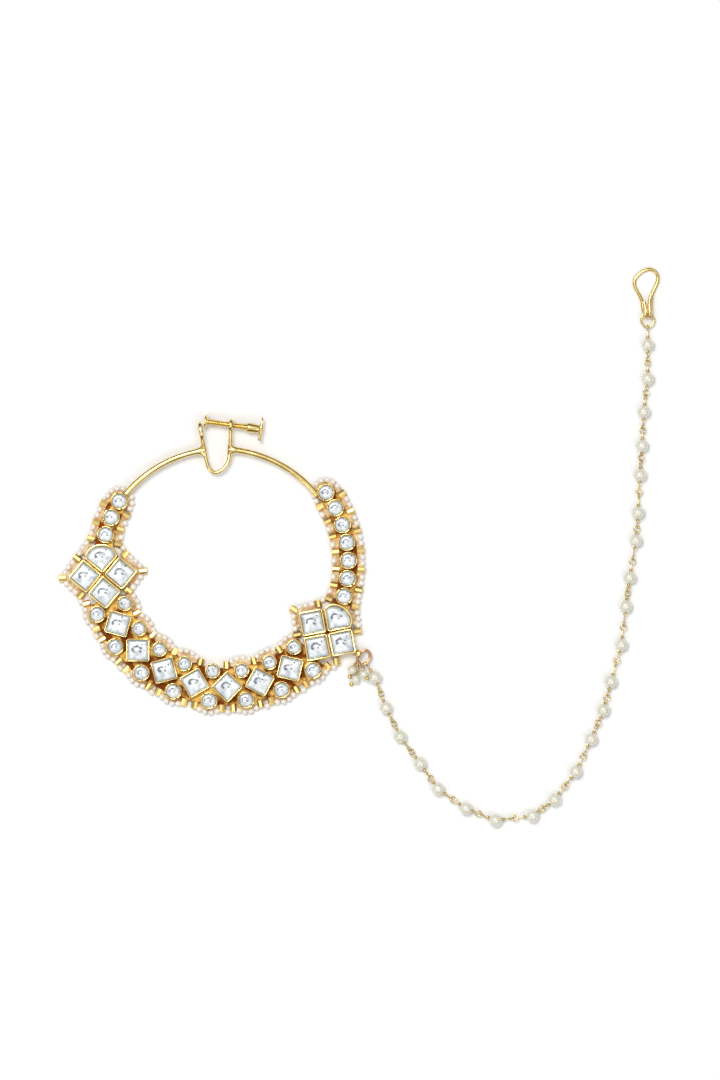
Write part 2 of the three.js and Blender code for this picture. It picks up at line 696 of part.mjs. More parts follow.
// A strand is a tube that swells to each seed pearl and thins to the thread between them.
function strandSolid(stations) {
  const rings = [];
  const last = stations.length - 1;
  stations.forEach((station, i) => {
    const before = stations[Math.max(i - 1, 0)].centre;
    const after = stations[Math.min(i + 1, last)].centre;
    const along = after.clone().sub(before).normalize();
    const pearl = station.pearl;
    if (i === 0) {
      rings.push({ centre: threadEnd(station, along, -1), along, radius: THREAD / 2 });
    }
    rings.push({ centre: station.centre, along, radius: pearl ? SEED_PEARL / 2 : THREAD / 2 });
    if (i === last) {
      rings.push({ centre: threadEnd(station, along, 1), along, radius: THREAD / 2 });
    } else if (pearl && stations[i + 1].pearl) {
      const next = stations[i + 1].centre;
      const centre = station.centre.clone().lerp(next, 0.5);
      rings.push({ centre, along: next.clone().sub(station.centre).normalize(), radius: THREAD / 2 });
    }
  });
  return solid(skin(rings, SEED_SIDES));
}

// A closed skin over rings of points that stand across a level path.
function skin(rings, sides) {
  const positions = [];
  for (const { centre, along, radius } of rings) {
    const sideways = new THREE.Vector3().crossVectors(UP, along);
    for (let k = 0; k < sides; k += 1) {
      const turn = (2 * Math.PI * k) / sides;
      const point = centre.clone().addScaledVector(sideways, radius * Math.cos(turn));
      point.addScaledVector(UP, radius * Math.sin(turn));
      positions.push(point.x, point.y, point.z);
    }
  }
  const faces = [];
  for (let i = 0; i + 1 < rings.length; i += 1) {
    for (let k = 0; k < sides; k += 1) {
      const a = i * sides + k;
      const b = i * sides + ((k + 1) % sides);
      faces.push(a, b, b + sides, a, b + sides, a + sides);
    }
  }
  const lastRing = (rings.length - 1) * sides;
  for (let k = 1; k + 1 < sides; k += 1) {
    faces.push(0, k + 1, k, lastRing, lastRing + k, lastRing + k + 1);
  }
  const geometry = new THREE.BufferGeometry();
  geometry.setAttribute("position", new THREE.Float32BufferAttribute(positions, 3));
  geometry.setIndex(faces);
  return geometry;
}

function tubeBead({ centre, direction }) {
  const half = direction.clone().multiplyScalar(TUBE_BEAD_LENGTH / 2);
  const across = TUBE_BEAD / Math.cos(Math.PI / TUBE_BEAD_SIDES);
  return solid(straight(centre.clone().sub(half), centre.clone().add(half), across, TUBE_BEAD_SIDES));
}

// Strings beads in order, with seed pearls between them and at a tail's free end.
function edging(beads, seedsBefore = [], seedsAfter = []) {
  const pearls = (centres) => centres.map((centre) => ({ centre, pearl: true }));
  const stations = pearls(seedsBefore);
  beads.forEach((bead, i) => {
    stations.push({ centre: bead.centre, pearl: false });
    if (i + 1 < beads.length) {
      stations.push(...pearls(seedsBetween(bead, beads[i + 1])));
    }
  });
  stations.push(...pearls(seedsAfter));
  return geometryOf(joined([strandSolid(stations), ...beads.map(tubeBead)]));
}

const [leftCluster] = clusters;
const halfRow = Math.ceil((ROW_SQUARES + 1) / 2);
const edgings = {
  edging_left_outer: edging(
    [
      ...tailBeads("left", -1, 1).reverse(),
      ...clusterBeads(leftCluster, 1).reverse(),
      ...range(0, halfRow).flatMap(outerRowBeads),
    ],
    seedsRoundEnd("left", -1),
  ),
  edging_right_outer: edging([
    ...range(halfRow, ROW_SQUARES + 1).flatMap(outerRowBeads),
    clusterBeads(rightCluster, 1)[0],
  ]),
  edging_right_tail: edging(
    [clusterBeads(rightCluster, 1)[2], ...tailBeads("right", 1, 1)],
    [],
    seedsRoundEnd("right", 1),
  ),
  edging_right_inner: edging([
    ...range(halfRow, ROW_SQUARES).map(innerRowBead),
    ...clusterBeads(rightCluster, -1),
    ...tailBeads("right", 1, -1),
  ]),
  edging_left_inner: edging([
    ...tailBeads("left", -1, -1).reverse(),
    ...clusterBeads(leftCluster, -1).reverse(),
    ...range(0, halfRow).map(innerRowBead),
  ]),
};

// Jump ring in the bail, with the drops and the chain's first link on it.

const ringHalfLong = (JUMP_RING_LENGTH - JUMP_RING_WIRE) / 2;
const ringHalfWide = (JUMP_RING_WIDTH - JUMP_RING_WIRE) / 2;
const jumpRingCentre = bailCentre.clone().addScaledVector(tipDirection, ringHalfWide);
const jumpRing = wireRing(
  jumpRingCentre,
  UP,
  tangent,
  JUMP_RING_LENGTH,
  JUMP_RING_WIDTH,
  JUMP_RING_WIRE,
  RING_STEPS,
);

// Where a ring's wire lies in a given direction from its centre.
function onJumpRing(angle) {
  const direction = polar(1, angle);
  const alongLong = direction.dot(tangent) / ringHalfLong;
  const alongWide = direction.dot(tipDirection) / ringHalfWide;
  return jumpRingCentre.clone().addScaledVector(direction, 1 / Math.hypot(alongLong, alongWide));
}

// A wire eye that stands upright on a flat ring's wire and faces along it.
function uprightEye(at, outwards, diameter, wire, ringWire) {
  const slack = diameter / 2 - wire - ringWire / 2 - LINK_CLEARANCE;
  const centre = at.clone().addScaledVector(outwards, slack);
  const facing = new THREE.Vector3().crossVectors(outwards, UP);
  const stemStart = centre.clone().addScaledVector(outwards, (diameter - wire) / 2);
  return { ring: wireRing(centre, facing, outwards, diameter, diameter, wire), stemStart };
}

function dropGeometry({ pearl, ball: end, eyeAngle }) {
  const outwards = polar(1, eyeAngle);
  const place = ([x, y, z]) => new THREE.Vector3(jumpRingCentre.x + x, jumpRingCentre.y + y, z);
  const eye = uprightEye(onJumpRing(eyeAngle), outwards, DROP_EYE, DROP_WIRE, JUMP_RING_WIRE);
  const pearlCentre = place(pearl);
  const ballCentre = place(end);
  return geometryOf(
    joined(
      [
        eye.ring,
        straight(eye.stemStart, pearlCentre, DROP_WIRE),
        straight(pearlCentre, ballCentre, DROP_WIRE),
        ball(pearlCentre, DROP_PEARL),
        ball(ballCentre, DROP_BALL, 6, 4),
      ].map(solid),
    ),
  );
}

// Hook ring and hair hook, placed from the chain's last pearl.

const chainPearls = CHAIN_PEARLS.map(([x, y]) => new THREE.Vector3(x, y, CHAIN_PEARL / 2));
const lastPearl = chainPearls.at(-1);
const hookRingLevel = (HOOK_WIRE + HOOK_SHANK_RISE) / 2;
const hookRingHalf = (HOOK_RING_LENGTH - HOOK_RING_WIRE) / 2;
const hookRingBottom = new THREE.Vector3(lastPearl.x, lastPearl.y + LAST_LINK_REACH, hookRingLevel);
const hookRingCentre = hookRingBottom.clone().add(new THREE.Vector3(0, hookRingHalf, 0));
const ALONG_Y = new THREE.Vector3(0, 1, 0);
const hookRing = wireRing(
  hookRingCentre,
  UP,
  ALONG_Y,
  HOOK_RING_LENGTH,
  HOOK_RING_WIDTH,
  HOOK_RING_WIRE,
  RING_STEPS,
);
const hookBend = (HOOK_WIRE + HOOK_RING_WIRE) / 2 + HOOK_CLEARANCE;
const hookWidth = HOOK_WIDTH - HOOK_WIRE;
const legShare = ((HOOK_RING_AT - HOOK_LEG_AT) * hookWidth) / ((HOOK_RING_WIDTH - HOOK_RING_WIRE) / 2);
const ringAtLeg = hookRingHalf * Math.sqrt(1 - legShare * legShare);
const hookOrigin = new THREE.Vector3(
  hookRingCentre.x - HOOK_RING_AT * hookWidth,
  hookRingCentre.y + ringAtLeg - hookBend,
  HOOK_WIRE / 2 + HOOK_DIP,
);
const hookWire = route(
  HOOK_ROUTE.map(({ across, up, level }) => {
    const rise = level * HOOK_SHANK_RISE;
    const point = new THREE.Vector3(across * hookWidth, up * (HOOK_LENGTH - HOOK_WIRE), rise);
    return point.add(hookOrigin);
  }),
);

// Chain: each pearl sits on a wire that ends in an eye on either side.

const eyeRadius = (CHAIN_EYE - CHAIN_WIRE) / 2;

// Two eyes that meet where a section ends: one lies flat and the other hangs upright in it.
function eyePair(from, to) {
  const middle = from.clone().lerp(to, 0.5);
  const along = to.clone().sub(from).normalize();
  const sideways = new THREE.Vector3().crossVectors(UP, along);
  const apart = 2 * eyeRadius - CHAIN_WIRE - CHAIN_EYE_GAP;
  const flatCentre = middle.clone().addScaledVector(along, -apart / 2);
  const standingCentre = middle.clone().addScaledVector(along, apart / 2);
  const eye = (centre, facing) => wireRing(centre, facing, along, CHAIN_EYE, CHAIN_EYE, CHAIN_WIRE);
  return {
    endEye: eye(flatCentre, UP),
    endStem: flatCentre.addScaledVector(along, -eyeRadius),
    startEye: eye(standingCentre, sideways),
    startStem: standingCentre.addScaledVector(along, eyeRadius),
  };
}

// A section's pearls on their wire, as one turned form that follows the chain's route.
function pearlString(start, pearls, end) {
  const radius = CHAIN_PEARL / 2;
  const stops = [start, ...pearls, end];
  const rings = [{ centre: start, along: pearls[0].clone().sub(start).normalize(), radius: CHAIN_WIRE / 2 }];
  pearls.forEach((pearl, i) => {
    const along = stops[i + 2].clone().sub(stops[i]).normalize();
    for (const { share, swell } of PEARL_RINGS) {
      const centre = pearl.clone().addScaledVector(along, share * radius);
      rings.push({ centre, along, radius: Math.max(swell * radius, CHAIN_WIRE / 2) });
    }
  });
  rings.push({ centre: end, along: end.clone().sub(pearls.at(-1)).normalize(), radius: CHAIN_WIRE / 2 });
  return skin(rings, PEARL_SIDES);
}

const firstOutwards = polar(1, CHAIN_EYE_ANGLE);
const firstEyeSeat = onJumpRing(CHAIN_EYE_ANGLE);
const firstEye = uprightEye(firstEyeSeat, firstOutwards, CHAIN_EYE, CHAIN_WIRE, JUMP_RING_WIRE);
const lastOutwards = ALONG_Y.clone().negate();
const lastEye = uprightEye(hookRingBottom, lastOutwards, CHAIN_EYE, CHAIN_WIRE, HOOK_RING_WIRE);
const sectionCount = Math.ceil(chainPearls.length / CHAIN_SECTION);
const sections = range(0, sectionCount).map((i) => {
  const first = i * CHAIN_SECTION;
  const pearls = chainPearls.slice(first, first + CHAIN_SECTION);
  const before = i > 0 ? eyePair(chainPearls[first - 1], pearls[0]) : null;
  const after = i + 1 < sectionCount ? eyePair(pearls.at(-1), chainPearls[first + CHAIN_SECTION]) : null;
  const startEye = before ? before.startEye : firstEye.ring;
  const startStem = before ? before.startStem : firstEye.stemStart;
  const endEye = after ? after.endEye : lastEye.ring;
  const endStem = after ? after.endStem : lastEye.stemStart;
  return joined([startEye, pearlString(startStem, pearls, endStem), endEye].map(solid));
});

const group = new THREE.Group();

function addPiece(name, geometry, look, place) {
  const mesh = new THREE.Mesh(geometry, new THREE.MeshStandardMaterial(look));
  mesh.name = name;
  if (place) {
    mesh.position.copy(place);
  }
  group.add(mesh);
}

addPiece("gold_frame", geometryOf(frameSolid), GOLD);
for (const stone of stones) {
  addPiece(`stone_${stone.name}`, stoneSolid(stone), GLASS, stone.centre);
}
addPiece("clip_pad", geometryOf(solid(pad)), GOLD);
addPiece("clip_screw", geometryOf(screwSolid), GOLD);
for (const [name, geometry] of Object.entries(edgings)) {
  addPiece(name, geometry, PEARL);
}
addPiece("jump_ring", geometryOf(solid(jumpRing)), ROSE_GOLD);
for (const drop of DROPS) {
  addPiece(drop.name, dropGeometry(drop), PEARL);
}
sections.forEach((section, i) => {
  addPiece(`chain_section_${i + 1}`, geometryOf(section), PEARL);
});
addPiece("hook_ring", geometryOf(solid(hookRing)), GOLD);
addPiece("hair_hook", geometryOf(solid(sweep(hookWire, HOOK_WIRE, HOOK_STEPS, HOOK_SIDES))), GOLD);

// The origin is the middle of the footprint, at the level that the ring rests on.
const bounds = new THREE.Box3().setFromObject(group);
const middle = bounds.getCenter(new THREE.Vector3());
group.position.set(-middle.x, -middle.y, -bounds.min.z);

export default group;
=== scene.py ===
import random
from math import atan2, cos, degrees, hypot, pi, radians, sin, sqrt

import bpy
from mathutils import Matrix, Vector


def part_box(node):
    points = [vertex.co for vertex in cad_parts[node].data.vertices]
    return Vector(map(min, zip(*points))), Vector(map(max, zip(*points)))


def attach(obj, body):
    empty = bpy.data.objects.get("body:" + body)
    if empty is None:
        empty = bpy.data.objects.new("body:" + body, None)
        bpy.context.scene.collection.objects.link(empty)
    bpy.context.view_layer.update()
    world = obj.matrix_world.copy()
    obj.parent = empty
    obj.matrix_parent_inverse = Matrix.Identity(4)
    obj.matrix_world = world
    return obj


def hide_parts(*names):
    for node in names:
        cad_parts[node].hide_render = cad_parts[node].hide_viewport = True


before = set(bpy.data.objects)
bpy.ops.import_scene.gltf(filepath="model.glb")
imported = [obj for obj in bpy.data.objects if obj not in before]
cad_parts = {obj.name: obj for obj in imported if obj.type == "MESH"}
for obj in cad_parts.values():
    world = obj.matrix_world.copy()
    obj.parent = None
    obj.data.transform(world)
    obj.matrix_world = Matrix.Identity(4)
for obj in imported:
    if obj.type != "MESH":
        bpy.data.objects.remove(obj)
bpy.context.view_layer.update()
scene = bpy.context.scene
scene.view_settings.view_transform = "Standard"

# Stone seats. Thin gold cups stand side by side on the band, and each rim is burnished in over its
# stone. They are soldered to a back plate, which shows as warm gold down between them. Lengths are
# millimetres about the ring's centre, which one stone of the frame gives.
BAND_RADIUS = 31.8
BAND_MIDDLE = 255.5
UP = Vector((0, 0, 1))
CUP_WALL = 0.32


def polar(radius, angle):
    return Vector((radius * cos(radians(angle)), radius * sin(radians(angle)), 0))


low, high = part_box("stone_row_square_4")
ring_centre = Vector((low + high) / 2 * 1000) - polar(BAND_RADIUS, BAND_MIDDLE)
ring_centre.z = 0


def new_object(name, points, faces, edges=(), smooth=True):
    """A mesh with its place in its vertices, from millimetres about the ring's centre."""
    mesh = bpy.data.meshes.new(name)
    mesh.from_pydata([(Vector(p) + ring_centre) / 1000 for p in points], list(edges), faces)
    for face in mesh.polygons:
        face.use_smooth = smooth
    mesh.update()
    piece = bpy.data.objects.new(name, mesh)
    scene.collection.objects.link(piece)
    return piece


def take_place(piece, material, nodes=(), body="ring"):
    """Gives a finished piece its material and its CAD body, and hides the nodes it stands for."""
    piece.data.materials.clear()
    piece.data.materials.append(material)
    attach(piece, body)
    if nodes:
        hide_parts(*nodes)


SQUARE_STONE = 5.4
CLUSTER_STONE = 5.7
OUTER_STONE = 3.8
INNER_STONE = 3.4
TAIL_STONE = 3.9
CLUSTER_SEAM = 0.25
TAIL_SEAM = 0.15
TAIL_TUCK = 1.1
OUTER_ROUND_OUT = 0.7
INNER_ROUND_IN = 1.0
TAIL_ROUNDS = {"left": 3, "right": 7}


def arc_angle(length):
    return degrees(length / BAND_RADIUS)


square_reach = (SQUARE_STONE / 2 + CUP_WALL) * sqrt(2)
cluster_step = (CLUSTER_STONE / 2 + CUP_WALL + CLUSTER_SEAM / 2) * sqrt(2)
cluster_reach = cluster_step + (CLUSTER_STONE / 2 + CUP_WALL) * sqrt(2)
tail_step = TAIL_STONE + 2 * CUP_WALL + TAIL_SEAM
square_step = arc_angle(2 * square_reach)
cluster_offset = arc_angle(7 * square_reach + cluster_reach)
tail_offset = cluster_offset + arc_angle(cluster_reach + tail_step / 2 - TAIL_TUCK)
outer_round_radius = BAND_RADIUS + (OUTER_STONE / 2 + CUP_WALL) * sqrt(2) + OUTER_ROUND_OUT
inner_round_radius = BAND_RADIUS - (INNER_STONE / 2 + CUP_WALL) * sqrt(2) - INNER_ROUND_IN

stones = []
for i in range(7):
    angle = BAND_MIDDLE + (i - 3) * square_step
    stones.append(("row_square_%d" % (i + 1), "square", SQUARE_STONE, polar(BAND_RADIUS, angle), angle))
for i in range(8):
    angle = BAND_MIDDLE + (i - 3.5) * square_step
    stones.append(("outer_round_%d" % (i + 1), "round", OUTER_STONE, polar(outer_round_radius, angle), angle))
    stones.append(("inner_round_%d" % (i + 1), "round", INNER_STONE, polar(inner_round_radius, angle), angle))
cluster_angle = {}
tails = {"left": [], "right": []}
for side, away in (("left", -1), ("right", 1)):
    angle = BAND_MIDDLE + away * cluster_offset
    cluster_angle[side] = angle
    for name, turn in (("arch", away * 90), ("outer", 0), ("row", -away * 90), ("inner", 180)):
        spot = polar(BAND_RADIUS, angle) + polar(cluster_step, angle + turn)
        kind = "arch" if name == "arch" else "square"
        stones.append(("%s_cluster_%s" % (side, name), kind, CLUSTER_STONE, spot, angle + turn))
    for i in range(TAIL_ROUNDS[side]):
        angle = BAND_MIDDLE + away * (tail_offset + arc_angle(i * tail_step))
        tails[side].append(angle)
        stones.append(("%s_tail_%d" % (side, i + 1), "round", TAIL_STONE, polar(BAND_RADIUS, angle), angle))

CORNER_POINTS = 12
CORNER_ROUNDING = 0.35
ARCH_ROUNDING = 1.1


def stone_outline(kind, flat, angle, grow):
    """Points round a stone's edge: four corners, each an arc, so that every kind has as many points."""
    points = []
    flat += grow
    radius = flat if kind == "round" else max(CORNER_ROUNDING + grow, 0.05)
    for corner in range(4):
        start, stop = -45, 45
        if kind == "arch":
            start, stop = (0, 45) if corner == 1 else (-45, 0) if corner == 3 else (-45, 45)
        hub = polar((flat - radius) * sqrt(2), angle + corner * 90)
        for k in range(CORNER_POINTS):
            share = k / (CORNER_POINTS - 1)
            if kind == "arch" and corner == 0:
                turn = radians(-84 + 168 * share)
                dome = polar((flat * sqrt(2) - ARCH_ROUNDING) * cos(turn), angle)
                points.append(dome + polar((hub.length + radius) * sin(turn), angle + 90))
            else:
                points.append(hub + polar(radius, angle + corner * 90 + start + (stop - start) * share))
    return points


def loft(points, faces, rings, close_start=False, close_end=False):
    """Adds a skin over rings that all have the same number of points."""
    first = len(points)
    count = len(rings[0])
    for ring in rings:
        points.extend(ring)
    for r in range(len(rings) - 1):
        for k in range(count):
            a = first + r * count + k
            b = first + r * count + (k + 1) % count
            faces.append((a, b, b + count, a + count))
    if close_start:
        faces.append(tuple(first + k for k in reversed(range(count))))
    if close_end:
        faces.append(tuple(first + (len(rings) - 1) * count + k for k in range(count)))


# The rim holds (distance out from the stone's edge, height). It is broader over the clusters' stones.
RIM = ((0.28, 0.0), (0.30, 0.2), (0.31, 2.5), (0.32, 3.0), (0.31, 3.28), (0.27, 3.39), (0.17, 3.43),
       (0.05, 3.42), (-0.02, 3.37), (-0.05, 3.2), (-0.06, 3.0))
BROAD_RIM = 0.14
WAVY_FROM = 2.9
WAVE_INWARDS = 0.012
WAVE_UP = 0.03
random.seed(3)
points, faces = [], []
for name, kind, size, centre, angle in stones:
    rings = []
    sway = [random.uniform(-1, 1) for _ in range(4)]
    for grow, level in RIM:
        broader = BROAD_RIM if size == CLUSTER_STONE and grow < 0.1 else 0
        outline = stone_outline(kind, size / 2, angle, grow - broader)
        ring = []
        for k, point in enumerate(outline):
            turn = 2 * pi * k / len(outline)
            wave = sway[0] * cos(2 * turn + sway[1] * 3) + sway[2] * cos(5 * turn + sway[3] * 3)
            wave *= level > WAVY_FROM
            inwards = 1 - WAVE_INWARDS * wave
            ring.append(centre + Vector((point.x * inwards, point.y * inwards, level + WAVE_UP * wave)))
        rings.append(ring)
    loft(points, faces, rings)
cups = new_object("stone_cups", points, faces)


def new_material(name, values):
    """A material with its shader's sockets set, and its nodes, links and shader to build on."""
    material = bpy.data.materials.new(name)
    material.use_nodes = True
    tree = material.node_tree
    surface = tree.nodes["Principled BSDF"]
    for socket, value in values.items():
        surface.inputs[socket].default_value = value
    return material, tree.nodes, tree.links, surface


def noise(scale, detail=2.0, place=None):
    """Noise in the material at hand, through the piece's own space unless a place is given."""
    node = nodes.new("ShaderNodeTexNoise")
    node.inputs["Scale"].default_value = scale
    node.inputs["Detail"].default_value = detail
    links.new(place or nodes.new("ShaderNodeTexCoord").outputs["Object"], node.inputs["Vector"])
    return node.outputs["Fac"]


def ramp(factor, low, dark, high, light):
    """A colour that runs from dark at low to light at high, in the material at hand."""
    node = nodes.new("ShaderNodeValToRGB")
    for element, position, colour in zip(node.color_ramp.elements, (low, high), (dark, light)):
        element.position = position
        element.color = colour
    links.new(factor, node.inputs["Fac"])
    return node.outputs["Color"]


def ranged(value, limits):
    """A value brought from one range to another, in the material at hand."""
    node = nodes.new("ShaderNodeMapRange")
    for socket, limit in limits.items():
        node.inputs[socket].default_value = limit
    links.new(value, node.inputs["Value"])
    return node.outputs["Result"]


def coloured(colour):
    """Feeds a colour to the shader of the material at hand."""
    links.new(colour, shader.inputs["Base Color"])


def bumped(height, strength, distance):
    """Feeds a bump to the shader of the material at hand."""
    node = nodes.new("ShaderNodeBump")
    node.inputs["Strength"].default_value = strength
    node.inputs["Distance"].default_value = distance
    links.new(height, node.inputs["Height"])
    links.new(node.outputs["Normal"], shader.inputs["Normal"])


gold, nodes, links, shader = new_material("polished_gold", {"Metallic": 1.0})
grain = noise(260, 3)
coloured(ramp(grain, 0.3, (0.76, 0.53, 0.16, 1), 0.7, (0.97, 0.78, 0.36, 1)))
links.new(ranged(grain, {"To Min": 0.1, "To Max": 0.22}), shader.inputs["Roughness"])
bumped(noise(500), 0.05, 0.0002)
take_place(cups, gold, ["gold_frame"])

# Back plate. One sheet follows the band, with a square and two seam fillers under each cluster. Its
# face between the cups is painted near-black brown to gold in patches: painted shade for the shade down
# between the cups.
points, faces = [], []


def sector(inner, outer, start, end, top, steps=90):
    """A flat piece of a ring, up to a level."""
    sections = []
    for k in range(steps + 1):
        angle = start + (end - start) * k / steps
        a, b = polar(inner, angle), polar(outer, angle)
        sections.append([a, b, b + UP * top, a + UP * top])
    loft(points, faces, sections, True, True)


TAIL_PLATE_HALF = 2.3
TAIL_PLATE_TOP = 1.36
ROW_PLATE_TOP = 1.2
CLUSTER_PLATE_TOP = 1.15
SEAM_TOP = 2.6
SEAM_HALF_TURN = 1.6
row_edge = 3.5 * square_step + 4.5
sector(BAND_RADIUS - TAIL_PLATE_HALF, BAND_RADIUS + TAIL_PLATE_HALF, tails["left"][-1], tails["right"][-1],
       TAIL_PLATE_TOP)
sector(inner_round_radius - 0.9, outer_round_radius + 1.0, BAND_MIDDLE - row_edge, BAND_MIDDLE + row_edge,
       ROW_PLATE_TOP)
for side in ("left", "right"):
    centre = polar(BAND_RADIUS, cluster_angle[side])
    rim = [centre + polar(cluster_reach - 0.6, cluster_angle[side] + 90 * k) for k in range(4)]
    loft(points, faces, [rim, [p + UP * CLUSTER_PLATE_TOP for p in rim]], True, True)
    for k in range(2):
        seam = cluster_angle[side] + 45 + 90 * k
        strip = [centre + polar(cluster_step * 1.3, seam + end + turn)
                 for end in (0, 180) for turn in (-SEAM_HALF_TURN, SEAM_HALF_TURN)]
        loft(points, faces, [strip, [p + UP * SEAM_TOP for p in strip]], True, True)
plate = new_object("back_plate", points, faces, smooth=False)
gold_painted_shade, nodes, links, shader = new_material("gold_painted_shade", {"Metallic": 1.0, "Roughness": 0.42})
# Painted shade: the plate's gold runs to near black in noise patches, for the shade between the cups.
coloured(ramp(noise(350), 0.47, (0.12, 0.03, 0.006, 1), 0.62, (0.56, 0.33, 0.08, 1)))
take_place(plate, gold_painted_shade)

# Stones. Each is colourless glass with a bevelled rim over crumpled silver foil. The foil shows pale, with
# painted grey shade under the bevel and over its upper part, and a small dark painted reflection of the
# camera near the middle, the same way up in every stone.
# A ring holds (distance out from the stone's edge, height, share of the dark edge line and of the painted
# grey shade on the bevel).
STONE_RINGS = ((-0.0, 3.0, 2.0), (-0.04, 3.12, 2.0), (-0.12, 3.2, 1.9), (-0.17, 3.24, 1.0), (-0.3, 3.34, 0.8),
               (-0.55, 3.5, 0.5), (-0.65, 3.53, 0.25), (-0.95, 3.56, 0.1))
TABLE_LEVEL = 3.59
points, faces, foil_uv = [], [], []
for name, kind, size, centre, angle in stones:
    first = len(points)
    tone = random.random()
    rings = []
    for grow, level, rim_share in STONE_RINGS:
        outline = stone_outline(kind, size / 2, angle, grow - (BROAD_RIM if size == CLUSTER_STONE else 0))
        rings.append([centre + p + UP * level for p in outline])
        foil_uv.extend((p.x * 2 / size, p.y * 2 / size, tone, rim_share) for p in outline)
    loft(points, faces, rings)
    count = len(rings[0])
    innermost = stone_outline(kind, size / 2, angle, STONE_RINGS[-1][0] - BROAD_RIM)
    for scale, level in ((0.5, 3.58), (0.2, TABLE_LEVEL)):
        ring = [centre + p * scale + UP * level for p in innermost]
        foil_uv.extend(((p.x - centre.x) * 2 / size, (p.y - centre.y) * 2 / size, tone, 0.0) for p in ring)
        start = len(points)
        points.extend(ring)
        for k in range(count):
            following = (k + 1) % count
            faces.append((start - count + k, start - count + following, start + following, start + k))
    points.append(centre + UP * TABLE_LEVEL)
    foil_uv.append((0.0, 0.0, tone, 0.0))
    last = len(points) - 1
    faces.extend((last - count + k, last - count + (k + 1) % count, last) for k in range(count))
stones_piece = new_object("kundan_stones", points, faces)
foil_map = stones_piece.data.uv_layers.new(name="foil")
tone_map = stones_piece.data.uv_layers.new(name="tone")
for loop in stones_piece.data.loops:
    u, v, tone, rim_share = foil_uv[loop.vertex_index]
    foil_map.data[loop.index].uv = (u, v)
    tone_map.data[loop.index].uv = (tone, rim_share)

glass, nodes, links, shader = new_material("foiled_glass", {
    "Metallic": 0.12, "Roughness": 0.3, "Coat Weight": 1.0, "Coat Roughness": 0.02, "Coat IOR": 1.52})


def math_node(operation, a, b=None, clamp=False):
    """A math node of the material at hand, whose inputs are sockets or numbers."""
    node = nodes.new("ShaderNodeMath")
    node.operation = operation
    node.use_clamp = clamp
    for socket, value in zip(node.inputs, (a, b)):
        if isinstance(value, bpy.types.NodeSocket):
            links.new(value, socket)
        elif value is not None:
            socket.default_value = value
    return node.outputs[0]


def mixed(factor, a, b):
    """A colour mix of the material at hand."""
    node = nodes.new("ShaderNodeMix")
    node.data_type = "RGBA"
    links.new(factor, node.inputs[0])
    for socket, value in ((node.inputs[6], a), (node.inputs[7], b)):
        if isinstance(value, bpy.types.NodeSocket):
            links.new(value, socket)
        else:
            socket.default_value = value
    return node.outputs[2]


def plus(a, b, clamp=False):
    return math_node("ADD", a, b, clamp)


def minus(a, b, clamp=False):
    return math_node("SUBTRACT", a, b, clamp)


def times(a, b, clamp=False):
    return math_node("MULTIPLY", a, b, clamp)


def map_parts(name):
    """The two numbers that a map of the stones holds, as sockets."""
    place = nodes.new("ShaderNodeUVMap")
    place.uv_map = name
    split = nodes.new("ShaderNodeSeparateXYZ")
    links.new(place.outputs["UV"], split.inputs[0])
    return split.outputs[0], split.outputs[1]


tone, rim_share = map_parts("tone")
foil_x, foil_y = map_parts("foil")
shifted = nodes.new("ShaderNodeCombineXYZ")
for socket, part in zip(shifted.inputs, (foil_x, foil_y, times(tone, 40.0))):
    links.new(part, socket)
creased = noise(1.7, 3, shifted.outputs[0])
swirl = times(minus(creased, 0.5), 0.65)


def length_of(x, y):
    """The length of a step of x and y, as a socket."""
    return math_node("SQRT", plus(math_node("POWER", x, 2.0), math_node("POWER", y, 2.0)))


def falling(distance, reach):
    """A share that falls from one to nothing as the distance grows to the reach."""
    return minus(1.0, math_node("DIVIDE", distance, reach), True)


# A dark broken arc, opening down and to the right, with three flecks and a short streak by it: a painted
# reflection of the camera above, the same way up in every stone.
ARC_RADIUS, ARC_WIDTH = 0.36, 0.12
FLECKS = ((-0.44, -0.04, 0.16), (0.23, 0.24, 0.12), (0.12, -0.04, 0.12))
across = plus(plus(foil_x, 0.17), swirl)
upward = plus(foil_y, times(swirl, 0.6))
off_arc = math_node("ABSOLUTE", minus(length_of(across, upward), ARC_RADIUS))
arc = falling(off_arc, ARC_WIDTH)
facing = plus(times(across, -1.5), times(upward, 2.4), True)
broken = times(minus(noise(9.0, 2, shifted.outputs[0]), 0.3), 6.0, True)
crescent = times(times(arc, facing), broken)
flecks = None
for fleck_x, fleck_y, fleck_size in FLECKS:
    fleck_across = minus(plus(foil_x, swirl), fleck_x)
    fleck_upward = minus(minus(foil_y, swirl), fleck_y)
    fleck = times(falling(length_of(fleck_across, fleck_upward), fleck_size), broken)
    flecks = fleck if flecks is None else plus(flecks, fleck)
streak_x = times(minus(foil_x, 0.4), 6.5)
streak_y = times(minus(plus(foil_y, swirl), 0.6), 9.0)
off_streak = plus(math_node("ABSOLUTE", streak_x), math_node("ABSOLUTE", streak_y))
streak = minus(1.0, off_streak, True)
painted_reflection_marks = plus(times(crescent, 2.1), times(flecks, 2.4))
dark = plus(painted_reflection_marks, times(streak, 1.8), True)
foil_light = times(minus(creased, 0.32), 3.4, True)
pale = mixed(foil_light, (0.46, 0.52, 0.56, 1), (0.94, 0.955, 0.965, 1))
# Painted shade: the foil greys towards the upper edge of each stone.
painted_top_shade = times(minus(foil_y, 0.5), 0.75, True)
# Painted shade: the foil greys under the bevel, more where the crumple noise is high.
bevel_painted_shade = times(rim_share, times(creased, 0.8), True)
greyed = mixed(plus(bevel_painted_shade, painted_top_shade, True), pale, (0.34, 0.37, 0.35, 1))
lined = mixed(minus(rim_share, 1.0, True), greyed, (0.06, 0.05, 0.03, 1))
